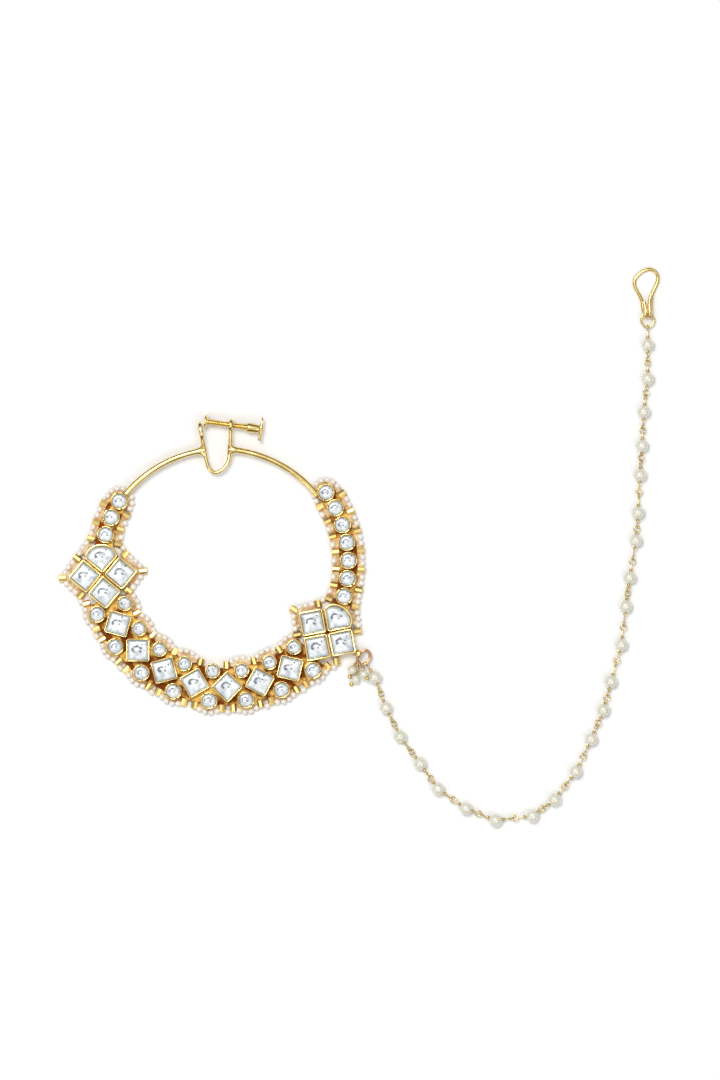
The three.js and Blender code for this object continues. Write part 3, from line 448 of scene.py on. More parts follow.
# Painted reflection: the arc, flecks and streak darken the foil's colour to near black.
foil_with_painted_reflection = mixed(times(dark, 0.92), lined, (0.04, 0.05, 0.08, 1))
coloured(foil_with_painted_reflection)
bumped(creased, 0.12, 0.0006)
take_place(stones_piece, glass, ["stone_" + stone[0] for stone in stones])

# Hoop and clip wire. Round gold wire runs from tail to tail and is soldered to the U of the clip,
# whose left leg is flattened to a pad and whose right leg ends in the screw's washer.


def new_group(name, sockets):
    """A node group that takes geometry and the named sockets, and gives geometry."""
    group = bpy.data.node_groups.new(name, "GeometryNodeTree")
    for socket, kind in (("Geometry", "Geometry"),) + sockets:
        group.interface.new_socket(socket, in_out="INPUT", socket_type="NodeSocket" + kind)
    group.interface.new_socket("Geometry", in_out="OUTPUT", socket_type="NodeSocketGeometry")
    return group


def fed_node(tree, kind, inputs, **settings):
    """A node with its settings made, and its inputs fed by sockets or set to values."""
    node = tree.nodes.new(kind)
    for setting, value in settings.items():
        setattr(node, setting, value)
    for socket, value in inputs.items():
        if isinstance(value, bpy.types.NodeSocket):
            tree.links.new(value, node.inputs[socket])
        else:
            node.inputs[socket].default_value = value
    return node


def end_group(group, source, geometry):
    """The last steps of a group: what it set out becomes plain geometry and takes the material."""
    plain = fed_node(group, "GeometryNodeRealizeInstances", {"Geometry": geometry})
    painted = fed_node(group, "GeometryNodeSetMaterial", {"Geometry": plain.outputs["Geometry"],
                                                          "Material": source.outputs["Material"]})
    fed_node(group, "NodeGroupOutput", {"Geometry": painted.outputs["Geometry"]})


wire_group = new_group("wire_along_path", (("Radius", "Float"), ("Sides", "Int"), ("Material", "Material")))
source = wire_group.nodes.new("NodeGroupInput")
line = fed_node(wire_group, "GeometryNodeMeshToCurve", {"Mesh": source.outputs["Geometry"]})
section = fed_node(wire_group, "GeometryNodeCurvePrimitiveCircle", {
    "Resolution": source.outputs["Sides"], "Radius": source.outputs["Radius"]})
skin = fed_node(wire_group, "GeometryNodeCurveToMesh", {
    "Curve": line.outputs["Curve"], "Profile Curve": section.outputs["Curve"], "Fill Caps": True})
rounded = fed_node(wire_group, "GeometryNodeSetShadeSmooth", {"Geometry": skin.outputs["Mesh"]})
end_group(wire_group, source, rounded.outputs["Geometry"])


def grown(seed_piece, name, group, values):
    """Runs a node group on a piece and returns its result as a plain mesh object."""
    modifier = seed_piece.modifiers.new("grow", "NODES")
    modifier.node_group = group
    for item in group.interface.items_tree:
        if item.item_type == "SOCKET" and item.in_out == "INPUT" and item.name in values:
            modifier[item.identifier] = values[item.name]
    seed_piece.update_tag()
    depsgraph = bpy.context.evaluated_depsgraph_get()
    mesh = bpy.data.meshes.new_from_object(seed_piece.evaluated_get(depsgraph))
    mesh.name = name
    piece = bpy.data.objects.new(name, mesh)
    scene.collection.objects.link(piece)
    bpy.data.objects.remove(seed_piece)
    return piece


def wires(name, paths, radius, material, sides, nodes=()):
    """Tubes along paths, put in place. A path is (points, closed)."""
    points, edges = [], []
    for path, closed in paths:
        first = len(points)
        points.extend(path)
        edges.extend((first + k, first + k + 1) for k in range(len(path) - 1))
        if closed:
            edges.append((len(points) - 1, first))
    lines = new_object(name + "_path", points, [], edges)
    piece = grown(lines, name, wire_group, {"Radius": radius / 1000, "Sides": sides, "Material": material})
    take_place(piece, material, nodes)


def eased(chosen, steps=8):
    """A smooth route through chosen points (centripetal Catmull-Rom)."""
    points = [Vector(p) for p in chosen]
    points = [2 * points[0] - points[1]] + points + [2 * points[-1] - points[-2]]
    route = []
    for i in range(1, len(points) - 2):
        p = points[i - 1 : i + 3]
        t = [0.0]
        for a, b in zip(p, p[1:]):
            t.append(t[-1] + max((b - a).length, 1e-6) ** 0.5)
        for k in range(steps):
            s = t[1] + (t[2] - t[1]) * k / steps
            a1 = p[0].lerp(p[1], (s - t[0]) / (t[1] - t[0]))
            a2 = p[1].lerp(p[2], (s - t[1]) / (t[2] - t[1]))
            a3 = p[2].lerp(p[3], (s - t[2]) / (t[3] - t[2]))
            b1 = a1.lerp(a2, (s - t[0]) / (t[2] - t[0]))
            b2 = a2.lerp(a3, (s - t[1]) / (t[3] - t[1]))
            route.append(b1.lerp(b2, (s - t[1]) / (t[2] - t[1])))
    route.append(points[-2])
    return route


HOOP_LEVEL = 2.6
HOOP_RADIUS = 0.775
HOOP_LEFT_INSET = 0.2
HOOP_RIGHT_INSET = 2.2
HOOP_CROWN_INSET = 2.35
CLIP_MIDDLE = -2.6
CLIP_WIDTH = 7.0
CLIP_HEIGHT = 12.3
CLIP_ABOVE_HOOP = 6.35
CLIP_RADIUS = 0.5
HOOP_LEFT_OVERRUN = 4.3
HOOP_RIGHT_OVERRUN = 1.2
hoop_left = polar(BAND_RADIUS - HOOP_LEFT_INSET, tails["left"][-1])
hoop_right = polar(BAND_RADIUS - HOOP_RIGHT_INSET, tails["right"][-1])
hoop_crown = Vector((CLIP_MIDDLE, BAND_RADIUS - HOOP_CROWN_INSET, 0))
ab, ac = hoop_crown - hoop_left, hoop_right - hoop_left
cross = 2 * (ab.x * ac.y - ab.y * ac.x)
hoop_centre = hoop_left + Vector(((ac.y * ab.length_squared - ab.y * ac.length_squared) / cross,
                                  (ab.x * ac.length_squared - ac.x * ab.length_squared) / cross, 0))
hoop_radius = (hoop_crown - hoop_centre).length


def hoop_angle(point):
    return degrees(atan2(point.y - hoop_centre.y, point.x - hoop_centre.x))


# The clip's route holds (share of its width from the middle, share of its height).
CLIP_ROUTE = ((-0.53, 0.84), (-0.49, 0.7), (-0.41, 0.5), (-0.34, 0.27), (-0.22, 0.08), (-0.01, 0.0),
              (0.25, 0.06), (0.46, 0.22), (0.53, 0.42), (0.55, 0.65), (0.56, 0.9))
clip_bottom = hoop_crown.y + CLIP_ABOVE_HOOP - CLIP_HEIGHT


def clip_point(across, up, level=0.0):
    return Vector((CLIP_MIDDLE + across * CLIP_WIDTH, clip_bottom + up * CLIP_HEIGHT, level))


clip_points = [clip_point(across, up, HOOP_LEVEL) for across, up in CLIP_ROUTE]
left_joint = hoop_angle(clip_point(-0.42, 0.5))
right_joint = hoop_angle(clip_point(0.5, 0.5))


def hoop_path(start, end):
    lift = UP * HOOP_LEVEL
    return [hoop_centre + polar(hoop_radius, start + (end - start) * k / 48) + lift for k in range(49)]


left_run = hoop_path(hoop_angle(hoop_left) - HOOP_LEFT_OVERRUN, left_joint)
right_run = hoop_path(right_joint, hoop_angle(hoop_right) + HOOP_RIGHT_OVERRUN)
wires("hoop_wire", [(left_run, False), (right_run, False)], HOOP_RADIUS, gold, 24)
wires("clip_wire", [(eased(clip_points, 10), False)], CLIP_RADIUS, gold, 20)


def oval(centre, first, second, count):
    """Points round a centre, from two half axes."""
    points = []
    for k in range(count):
        turn = 2 * pi * k / count
        points.append(centre + first * cos(turn) + second * sin(turn))
    return points


def turned(points, faces, profile, origin, axis, sides=32):
    """A turned form: the profile holds (distance along the axis, radius)."""
    axis = Vector(axis).normalized()
    side = axis.cross(UP if abs(axis.z) < 0.9 else Vector((1, 0, 0))).normalized()
    up = axis.cross(side)
    rings = [oval(origin + axis * along, side * radius, up * radius, sides) for along, radius in profile]
    loft(points, faces, rings, profile[0][1] > 0, profile[-1][1] > 0)


SCREW_TILT = -8.2
PAD_GAP = 0.35
WASHER_WIDTH = 0.85
WASHER = ((0.1, 0.99), (0.0, 1.08), (0.0, 1.5), (0.12, 1.64), (0.73, 1.64), (WASHER_WIDTH, 1.5),
          (WASHER_WIDTH, 1.08), (0.75, 0.99), (0.1, 0.99))
screw_axis = polar(1, SCREW_TILT)
screw_side = screw_axis.cross(UP)
eye_centre = Vector((clip_points[-1].x, clip_bottom + CLIP_HEIGHT, HOOP_LEVEL))
pad_face_x = clip_points[0].x + CLIP_RADIUS + PAD_GAP
pad_face = eye_centre + screw_axis * ((pad_face_x - eye_centre.x) / screw_axis.x)
eye_along = (eye_centre - pad_face).length - WASHER_WIDTH / 2
points, faces = [], []
loft(points, faces, [oval(pad_face + screw_axis * (eye_along + along), screw_side * radius, UP * radius, 40)
                     for along, radius in WASHER])
# Solder fillets where the hoop meets the clip's legs: (distance along the hoop, half width, half height).
FILLET = ((-0.35, 1.2, 0.36), (0.05, 2.3, 0.5), (0.35, 1.8, 0.64), (0.6, 1.4, 0.76), (0.95, 1.1, 0.8),
          (1.4, 0.9, 0.8), (2.1, 0.8, 0.785), (2.4, 0.74, 0.74))
for joint, way in ((left_joint, 1), (right_joint, -1)):
    spot = hoop_centre + polar(hoop_radius, joint) + UP * HOOP_LEVEL
    along = polar(1, joint + 90 * way)
    loft(points, faces, [oval(spot + along * reach, polar(spread, joint), UP * rise, 28)
                         for reach, spread, rise in FILLET], True, True)
joints = new_object("washer_and_solder", points, faces)
take_place(joints, gold)

lean = atan2(clip_points[1].x - clip_points[0].x, clip_points[0].y - clip_points[1].y)
pad_up = Vector((-sin(lean), cos(lean), 0))
pad_across = Vector((cos(lean), sin(lean), 0))
pad_middle = clip_points[0] + pad_up * 0.4
FIXED_PAD_HALF_LENGTH = 2.42
FIXED_PAD_HALF_WIDTH = 1.72
FIXED_PAD = ((-0.5, 0.02), (-0.5, 0.78), (-0.38, 0.95), (-0.15, 1.0), (0.25, 1.0), (0.46, 0.95), (0.5, 0.86),
             (0.4, 0.74), (0.36, 0.02))
points, faces = [], []
loft(points, faces, [oval(pad_middle + pad_across * along, pad_up * (FIXED_PAD_HALF_LENGTH * share),
                          UP * (FIXED_PAD_HALF_WIDTH * share), 40) for along, share in FIXED_PAD], True, True)
fixed_pad = new_object("fixed_pad", points, faces)
take_place(fixed_pad, gold)

# Screw. A gold rod with a fine rolled thread runs through the washer to a disc pad. Its head steps up
# over two collars to a smooth barrel, which ends in two crossed thumb bars, one arm of them ribbed.
DISC_PAD = ((0.0, 0.3), (0.0, 1.6), (0.12, 1.73), (0.42, 1.74), (0.6, 1.6), (0.72, 1.2), (0.8, 0.95),
            (0.9, 0.85), (0.9, 0.3))
points, faces = [], []
turned(points, faces, DISC_PAD, pad_face, screw_axis, 40)
pad_piece = new_object("disc_pad", points, faces)
take_place(pad_piece, gold, ["clip_pad"], "pad")

THREAD_PITCH = 0.5
THREAD_START = 1.02
THREAD_LENGTH = 9.25
THREAD_CORE = 0.66
THREAD_DEPTH = 0.21
THREAD_STEPS = 360
THREAD_SIDES = 24
points, faces, rings = [], [], []
for k in range(THREAD_STEPS + 1):
    along = THREAD_START + k * THREAD_LENGTH / THREAD_STEPS
    ring = []
    for j in range(THREAD_SIDES):
        turn = 2 * pi * j / THREAD_SIDES
        phase = (along / THREAD_PITCH - j / THREAD_SIDES) % 1.0
        radius = THREAD_CORE + THREAD_DEPTH * (1 - abs(2 * phase - 1))
        outwards = screw_side * cos(turn) + UP * sin(turn)
        ring.append(pad_face + screw_axis * along + outwards * radius)
    rings.append(ring)
loft(points, faces, rings, True, True)
BAR_ALONG = 14.8
HEAD = ((10.2, 0.6), (10.26, 0.84), (10.4, 0.88), (10.46, 0.74), (10.62, 0.76), (10.68, 0.96), (10.86, 1.0),
        (10.92, 0.84), (11.06, 0.88), (11.14, 1.12), (11.32, 1.25), (11.6, 1.27), (13.4, 1.2), (14.1, 1.1),
        (14.35, 0.95), (14.42, 0.7), (14.6, 0.62), (14.75, 0.3))
SMOOTH_ARM = ((-3.08, 0.1), (-2.95, 0.2), (-2.0, 0.33), (-0.8, 0.42), (-0.3, 0.55), (0.3, 0.55), (0.8, 0.42))
RIBBED_ARM = tuple((1.0 + 0.15 * k, 0.34 if k % 2 else 0.42) for k in range(11))
ARM_END = ((2.6, 0.3), (2.68, 0.42), (2.85, 0.46), (3.0, 0.36), (3.08, 0.12))
UPRIGHT_BAR = ((-1.68, 0.12), (-1.6, 0.26), (-0.6, 0.4), (0.6, 0.4), (1.6, 0.26), (1.68, 0.12))
bar_centre = pad_face + screw_axis * BAR_ALONG
turned(points, faces, HEAD, pad_face, screw_axis, 40)
turned(points, faces, SMOOTH_ARM + RIBBED_ARM + ARM_END, bar_centre, screw_side, 20)
turned(points, faces, UPRIGHT_BAR, bar_centre, UP, 20)
screw = new_object("thumb_screw", points, faces)
take_place(screw, gold, ["clip_screw"], "screw")

# Edging. Short gold tubes stand outwards from the band on a peach thread, and seed pearls are strung
# between them. Stitches of the thread hold the strand to the cups.
TUBE_LENGTH = 2.0
TUBE_WIDTH = 2.0
SEED = 1.5
SEED_PITCH = 1.6
EDGE_GAP = 0.3
EDGE_LEVEL = 1.0
STITCH_PITCH = 0.4
STITCH_LEAST = 1.9
STITCH_MOST = 3.4
STITCH_STOP = 2.3
STITCH_RISE = 0.12
THREAD_RADIUS = 0.2
FIRST_TAIL_BEAD_SHARE = 0.75
FIRST_TAIL_BEAD_OUT = 0.3
END_FAN = 190
bead_out = EDGE_GAP + TUBE_LENGTH / 2
tail_cup = TAIL_STONE / 2 + CUP_WALL
pearl_out = EDGE_GAP + SEED / 2


def bead(centre, direction, bow, **more):
    return {"centre": Vector((centre.x, centre.y, EDGE_LEVEL)), "direction": direction, "bow": bow, **more}


def cluster_beads(side, away, outwards):
    angle = cluster_angle[side]
    centre = polar(BAND_RADIUS, angle)
    facing = angle if outwards > 0 else angle + 180
    lean = outwards * away * 45
    distance = cluster_reach / sqrt(2) + bead_out
    towards_tip = polar(1.4, facing)

    def out(turn):
        along = polar(1, turn + 90)
        return bead(centre + polar(distance, turn) + along * towards_tip.dot(along), polar(1, turn), 0.5)

    tip_bead = bead(centre + polar(cluster_reach + bead_out, facing), polar(1, facing), 0.5)
    return [out(facing - lean), tip_bead, out(facing + lean)]


def outer_row_beads(number):
    radius = BAND_RADIUS + square_reach + bead_out
    angle = BAND_MIDDLE + (number - 3.5) * square_step
    flank = arc_angle(OUTER_STONE / 2 + CUP_WALL + TUBE_WIDTH / 2 + EDGE_GAP) * BAND_RADIUS / radius
    round_bow = outer_round_radius + OUTER_STONE / 2 + CUP_WALL + pearl_out - radius
    return [bead(polar(radius, angle + turn), polar(1, angle + turn), 1.0, round=number, round_bow=round_bow)
            for turn in (-flank, flank)]


def inner_row_bead(number):
    angle = BAND_MIDDLE + (number - 3) * square_step
    radius = BAND_RADIUS - square_reach - bead_out
    bow = radius - inner_round_radius + INNER_STONE / 2 + CUP_WALL + pearl_out
    return bead(polar(radius, angle), polar(-1, angle), bow)


def tail_beads(side, away, outwards):
    radius = BAND_RADIUS + outwards * (tail_cup + bead_out - TUBE_LENGTH / 6)
    placed = []
    for k, angle in enumerate(tails[side]):
        share, further = (FIRST_TAIL_BEAD_SHARE, FIRST_TAIL_BEAD_OUT) if k == 0 else (1.0, 0)
        turn = angle - away * arc_angle(tail_step / 2) * share
        placed.append(bead(polar(radius + further * outwards, turn), polar(outwards, turn), 0.5))
    return placed


def seeds_between(a, b):
    same_round = "round" in a and a.get("round") == b.get("round")
    bow = a["round_bow"] if same_round else max(a["bow"], b["bow"])
    outwards = (a["direction"] + b["direction"]).normalized()
    middle = (a["centre"] + b["centre"]) / 2 + outwards * 2 * bow
    fine = []
    for k in range(201):
        t = k / 200
        fine.append(a["centre"] * (1 - t) ** 2 + middle * 2 * t * (1 - t) + b["centre"] * t * t)
    lengths = [0.0]
    for p, q in zip(fine, fine[1:]):
        lengths.append(lengths[-1] + (q - p).length)
    total = lengths[-1]
    count = round((total - TUBE_WIDTH) / SEED_PITCH)
    margin = (total - count * SEED_PITCH) / 2
    seeds = []
    for i in range(count):
        wanted = margin + (total - 2 * margin) * (i + 0.5) / count
        k = next(n for n, reached in enumerate(lengths) if reached >= wanted)
        seeds.append(fine[k])
    return seeds


def seeds_round_end(side, away):
    end_angle = tails[side][-1]
    hub = polar(BAND_RADIUS, end_angle) + UP * EDGE_LEVEL
    radius = tail_cup + pearl_out
    count = round(radians(END_FAN) * radius / SEED_PITCH)
    start = end_angle + 90 * away - END_FAN / 2
    return [hub + polar(radius, start + END_FAN * i / count) for i in range(count + 1)]


left_end, right_end = seeds_round_end("left", -1), seeds_round_end("right", 1)
right_tip = cluster_beads("right", 1, 1)
left_outer = tail_beads("left", -1, 1)[::-1] + cluster_beads("left", -1, 1)[::-1]
left_outer += [b for n in range(4) for b in outer_row_beads(n)]
right_outer = [b for n in range(4, 8) for b in outer_row_beads(n)] + [right_tip[0]]
right_tail = [right_tip[2]] + tail_beads("right", 1, 1)
right_inner = [inner_row_bead(n) for n in range(4, 7)] + cluster_beads("right", 1, -1)
right_inner += tail_beads("right", 1, -1)
left_inner = tail_beads("left", -1, -1)[::-1] + cluster_beads("left", -1, -1)[::-1]
left_inner += [inner_row_bead(n) for n in range(4)]
# An edge holds (seed pearls before its tube beads, the tube beads, seed pearls after them).
edges = {"left_outer": (left_end, left_outer, []), "right_outer": ([], right_outer, []),
         "right_tail": ([], right_tail, right_end), "right_inner": ([], right_inner, []),
         "left_inner": ([], left_inner, [])}

pearl, nodes, links, shader = new_material("seed_pearl_lustre", {
    "Roughness": 0.28, "Coat Weight": 0.6, "Coat Roughness": 0.12, "Subsurface Weight": 0.2,
    "Subsurface Radius": (1.0, 0.8, 0.6), "Subsurface Scale": 0.0006})
coloured(mixed(noise(400), (0.84, 0.77, 0.68, 1), (0.96, 0.93, 0.88, 1)))

tube_gold, nodes, links, shader = new_material("faceted_gold", {
    "Metallic": 1.0, "Base Color": (0.93, 0.69, 0.27, 1), "Roughness": 0.33})

thread, nodes, links, shader = new_material("peach_thread", {"Roughness": 0.5, "Sheen Weight": 0.4})
spread = ranged(noise(700, 3), {"From Min": 0.35, "From Max": 0.65})
coloured(mixed(spread, (0.48, 0.24, 0.06, 1), (0.95, 0.76, 0.50, 1)))

bead_group = new_group("beads_on_points", (("Bead", "Object"), ("Seed", "Int"), ("Least", "Float"),
                                           ("Spin", "Float"), ("Material", "Material")))
source = bead_group.nodes.new("NodeGroupInput")
shape = fed_node(bead_group, "GeometryNodeObjectInfo", {"Object": source.outputs["Bead"]})
along = fed_node(bead_group, "GeometryNodeInputNamedAttribute", {"Name": "along"}, data_type="FLOAT_VECTOR")
aligned = fed_node(bead_group, "FunctionNodeAlignRotationToVector", {
    "Vector": along.outputs["Attribute"]}, axis="Z")
# A random value's inputs 2 and 3 are its least and its most.
spin = fed_node(bead_group, "FunctionNodeRandomValue", {
    3: source.outputs["Spin"], "Seed": source.outputs["Seed"]}, data_type="FLOAT")
turn = fed_node(bead_group, "FunctionNodeAxisAngleToRotation", {"Angle": spin.outputs[1]})
turned_to = fed_node(bead_group, "FunctionNodeRotateRotation", {
    "Rotation": aligned.outputs["Rotation"], "Rotate By": turn.outputs["Rotation"]}, rotation_space="LOCAL")
size = fed_node(bead_group, "FunctionNodeRandomValue", {
    2: source.outputs["Least"], 3: 1.0, "Seed": source.outputs["Seed"]}, data_type="FLOAT")
set_out = fed_node(bead_group, "GeometryNodeInstanceOnPoints", {
    "Points": source.outputs["Geometry"], "Instance": shape.outputs["Geometry"],
    "Rotation": turned_to.outputs["Rotation"], "Scale": size.outputs[1]})
end_group(bead_group, source, set_out.outputs["Instances"])


def beads(name, places, shape, material, seed, nodes=(), least=1.0, spin=0.0):
    """One bead shape set out and put in place. A place is (point, direction of its hole)."""
    spots = new_object(name + "_places", [p for p, _ in places], [])
    attribute = spots.data.attributes.new("along", "FLOAT_VECTOR", "POINT")
    for k, (_, direction) in enumerate(places):
        attribute.data[k].vector = direction
    values = {"Bead": shape, "Seed": seed, "Least": least, "Spin": spin, "Material": material}
    take_place(grown(spots, name, bead_group, values), material, nodes)


def bead_shape(name, profile, sides):
    """A bead about the world's origin, to set out: profile of (along, radius) in millimetres."""
    points, faces = [], []
    turned(points, faces, profile, -ring_centre, (0, 0, 1), sides)
    return new_object(name, points, faces)


def ball_profile(radius, limit, step):
    """A ball's profile, up to the angle on each side where its hole or its end begins."""
    turns = [radians(angle) for angle in range(-limit, limit + 1, step)]
    return [(radius * sin(turn), radius * cos(turn)) for turn in turns]


SEED_HOLE = [(0.74, 0.22), (0.7, 0.12)]
SEED_PROFILE = [(-0.7, 0.12), (-0.74, 0.22)] + ball_profile(0.79, 68, 17) + SEED_HOLE
seed_shape = bead_shape("seed_pearl_shape", SEED_PROFILE, 20)
TUBE_SIDES = 9
TUBE_PROFILE = ((-0.80, 0.4), (-0.98, 0.52), (-1.0, 0.84), (-0.88, 0.98), (0.88, 0.98), (1.0, 0.84),
                (0.98, 0.52), (0.80, 0.4), (-0.80, 0.4))
points, faces = [], []
loft(points, faces, [oval(UP * along_tube - ring_centre, polar(radius, 0), polar(radius, 90), TUBE_SIDES)
                     for along_tube, radius in TUBE_PROFILE])
tube_shape = new_object("tube_bead_shape", points, faces, smooth=False)

for number, (edge_name, (before, tubes, after)) in enumerate(edges.items()):
    stations = [(p, None) for p in before]
    for k, tube in enumerate(tubes):
        stations.append((tube["centre"], tube["direction"]))
        if k + 1 < len(tubes):
            stations.extend((p, None) for p in seeds_between(tube, tubes[k + 1]))
    stations.extend((p, None) for p in after)
    seeds = []
    for k, (point, direction) in enumerate(stations):
        if direction is None:
            ahead = stations[min(k + 1, len(stations) - 1)][0] - stations[max(k - 1, 0)][0]
            seeds.append((point, ahead.normalized()))
    beads("seed_pearls_" + edge_name, seeds, seed_shape, pearl, 11 + number,
          ["edging_" + edge_name], least=0.93)
    outward_tubes = [(t["centre"], t["direction"]) for t in tubes]
    beads("gold_tubes_" + edge_name, outward_tubes, tube_shape, tube_gold, 31 + number,
          spin=6.28)
    strand_route = [point for point, _ in stations]
    paths = [(strand_route, False)]
    for start, stop in zip(strand_route, strand_route[1:]):
        count = max(1, round((stop - start).length / STITCH_PITCH))
        for k in range(count):
            point = start.lerp(stop, (k + 0.5) / count)
            flat = Vector((point.x, point.y, 0))
            nearest = min(stones, key=lambda stone: (stone[3] - flat).length)[3]
            inwards = (nearest - flat).normalized()
            reach = max(STITCH_LEAST, min((nearest - flat).length - STITCH_STOP, STITCH_MOST))
            paths.append(([point - UP * 0.1, point + inwards * 0.7 + UP * STITCH_RISE,
                           point + inwards * reach + UP * 0.1], False))
    wires("thread_" + edge_name, paths, THREAD_RADIUS, thread, 8)
for shape in (seed_shape, tube_shape):
    bpy.data.objects.remove(shape)

# Bail and jump ring. A gold tube bead is soldered across the right cluster's outer tip, and a doubled
# ring of rose gold wire runs through it.
tip_direction = polar(1, cluster_angle["right"])
tangent = polar(1, cluster_angle["right"] + 90)
tip = polar(BAND_RADIUS, cluster_angle["right"]) + tip_direction * cluster_reach
bail_centre = tip + tip_direction * 0.55 + UP * 1.7
BAIL = ((-0.85, 0.56), (-0.85, 0.86), (-0.75, 0.94), (0.75, 0.94), (0.85, 0.86), (0.85, 0.56), (-0.85, 0.56))
points, faces = [], []
loft(points, faces, [oval(bail_centre + tangent * along_tube, tip_direction * radius, UP * radius, 28)
                     for along_tube, radius in BAIL])
bail = new_object("bail", points, faces)
take_place(bail, gold)

rose, nodes, links, shader = new_material("rose_gold_wire", {
    "Metallic": 1.0, "Base Color": (0.62, 0.36, 0.21, 1), "Roughness": 0.2})
RING_LONG, RING_WIDE = 2.1, 1.65
ring_middle = bail_centre + tip_direction * RING_WIDE


def ring_point(angle, grow=0.0):
    direction = polar(1, angle)
    share = hypot(direction.dot(tangent) / (RING_LONG + grow),
                       direction.dot(tip_direction) / (RING_WIDE + grow))
    return ring_middle + direction / share


jump_paths = []
for shift, grow in ((0.06, 0.0), (-0.06, -0.32)):
    jump_paths.append(([ring_point(360 * k / 64, grow) + UP * shift for k in range(64)], True))
wires("jump_ring_wire", jump_paths, 0.24, rose, 12, ["jump_ring"])

# Drops. Three small pearls hang from the ring on headpins, each with a gold ball at its foot and a
# wrapped eye. They lie side by side below it.
fine_gold, nodes, links, shader = new_material("fine_gold_wire", {
    "Metallic": 1.0, "Base Color": (0.73, 0.57, 0.26, 1), "Roughness": 0.24})

ivory, nodes, links, shader = new_material("ivory_pearl", {
    "Roughness": 0.22, "Coat Weight": 1.0, "Coat Roughness": 0.04, "Coat IOR": 1.9, "Subsurface Weight": 0.15,
    "Subsurface Radius": (1.0, 0.9, 0.7), "Subsurface Scale": 0.001})
coloured(mixed(noise(260), (0.74, 0.72, 0.58, 1), (0.85, 0.83, 0.71, 1)))


def eye_path(centre, along, tilt, radius=0.75, steps=28):
    """A ring of wire with its hole turned by tilt from facing up."""
    along = along.normalized()
    side = Vector((-along.y, along.x, 0)).normalized()
    up = along.cross(side)
    across = side * cos(radians(tilt)) + up * sin(radians(tilt))
    return oval(centre, along * radius, across * radius, steps)


def wrap_path(start, end, radius=0.3, turns=2.5, steps=14):
    """Wire wound round the stem from start to end."""
    along = (end - start).normalized()
    side = along.cross(UP).normalized()
    up = along.cross(side)
    count = int(turns * steps)
    coil = []
    for k in range(count + 1):
        turn = 2 * pi * k / steps
        coil.append(start.lerp(end, k / count) + (side * cos(turn) + up * sin(turn)) * radius)
    return coil


# A drop holds (its pearl's centre, its ball's centre, where its eye sits on the ring).
DROPS = (((-3.0, -3.3, 1.3), (-3.65, -5.0, 0.7), 215), ((-2.06, -5.75, 1.3), (-3.2, -6.95, 0.7), 240),
         ((0.0, -4.35, 2.6), (0.9, -5.4, 3.5), 265))
DROP_EYE = 0.675
wire_paths = []
drop_pearls = []
points, faces = [], []
flat_middle = Vector((ring_middle.x, ring_middle.y, 0))
for pearl_at, ball_at, eye_angle in DROPS:
    pearl_centre = flat_middle + Vector(pearl_at)
    ball_centre = flat_middle + Vector(ball_at)
    outwards = polar(1, eye_angle)
    eye_at = ring_point(eye_angle) + outwards * 0.125
    stem_start = eye_at + outwards * DROP_EYE
    above = pearl_centre + (stem_start - pearl_centre).normalized() * 1.15
    wire_paths += [(eye_path(eye_at, outwards, 78, 0.62), True),
                   ([stem_start, above, pearl_centre], False),
                   (wrap_path(stem_start, above, 0.24, 3), False),
                   ([pearl_centre, ball_centre], False)]
    drop_pearls.append((pearl_centre, (pearl_centre - ball_centre).normalized()))
    turned(points, faces, ball_profile(0.55, 90, 15), ball_centre, pearl_centre - ball_centre, 24)
drop_balls = new_object("drop_balls", points, faces)
take_place(drop_balls, gold, ["drop_left", "drop_middle", "drop_right"])
wires("drop_wires", wire_paths, 0.15, fine_gold, 10)
drop_shape = bead_shape("drop_pearl_shape", ball_profile(1.2, 80, 10), 32)
beads("drop_pearls", drop_pearls, drop_shape, ivory, 51, least=0.96)
bpy.data.objects.remove(drop_shape)

# Chain. Each ivory pearl is on its own gold wire, which is wound back on itself at both ends and
# makes an eye there. Neighbouring eyes hold each other, one flat and one on edge.
CHAIN_PEARLS = ((38.63, -29.41), (41.45, -37.26), (45.12, -44.68), (50.28, -51.71), (54.88, -58.24),
                (62.07, -63.26), (69.74, -66.31), (79.28, -65.17), (85.01, -60.96), (90.49, -53.7),
                (94.42, -45.37), (97.6, -37.86), (99.53, -30.44), (102.22, -20.96), (103.39, -11.01),
                (104.37, -3.62), (105.97, 5.97), (106.56, 13.13), (107.03, 22.89), (107.56, 30.41),
                (108.01, 39.2), (109.02, 47.75), (109.02, 56.51))
CHAIN_LEVEL = 1.7
CHAIN_EYE = 0.74
CHAIN_WIRE = 0.17
PEARL_RADIUS = 1.7
WRAP_LENGTH = 0.75
WIRE_LEAVES_PEARL = 1.62
EYE_OVERLAP = 0.5
EYE_DROP = 0.35
FIRST_EYE_TURN = 295
FIRST_EYE_OUT = 0.175
LAST_EYE_DOWN = 0.15
LAST_LINK = 4.5
END_RING_LEVEL = 1.4
random.seed(21)
chain_points = [Vector((x, y, CHAIN_LEVEL)) for x, y in CHAIN_PEARLS]
hook_ring_bottom = Vector((chain_points[-1].x, chain_points[-1].y + LAST_LINK, END_RING_LEVEL))
first_outwards = polar(1, FIRST_EYE_TURN)
first_eye = ring_point(FIRST_EYE_TURN) + first_outwards * FIRST_EYE_OUT
last_eye = hook_ring_bottom - Vector((0, LAST_EYE_DOWN, 0))
wire_paths = [(eye_path(first_eye, first_outwards, 84), True),
              (eye_path(last_eye, Vector((0, -1, 0)), 86), True)]
ends = [[None, None] for _ in chain_points]
ends[0][0] = first_eye + first_outwards * CHAIN_EYE
ends[-1][1] = last_eye - Vector((0, CHAIN_EYE, 0))
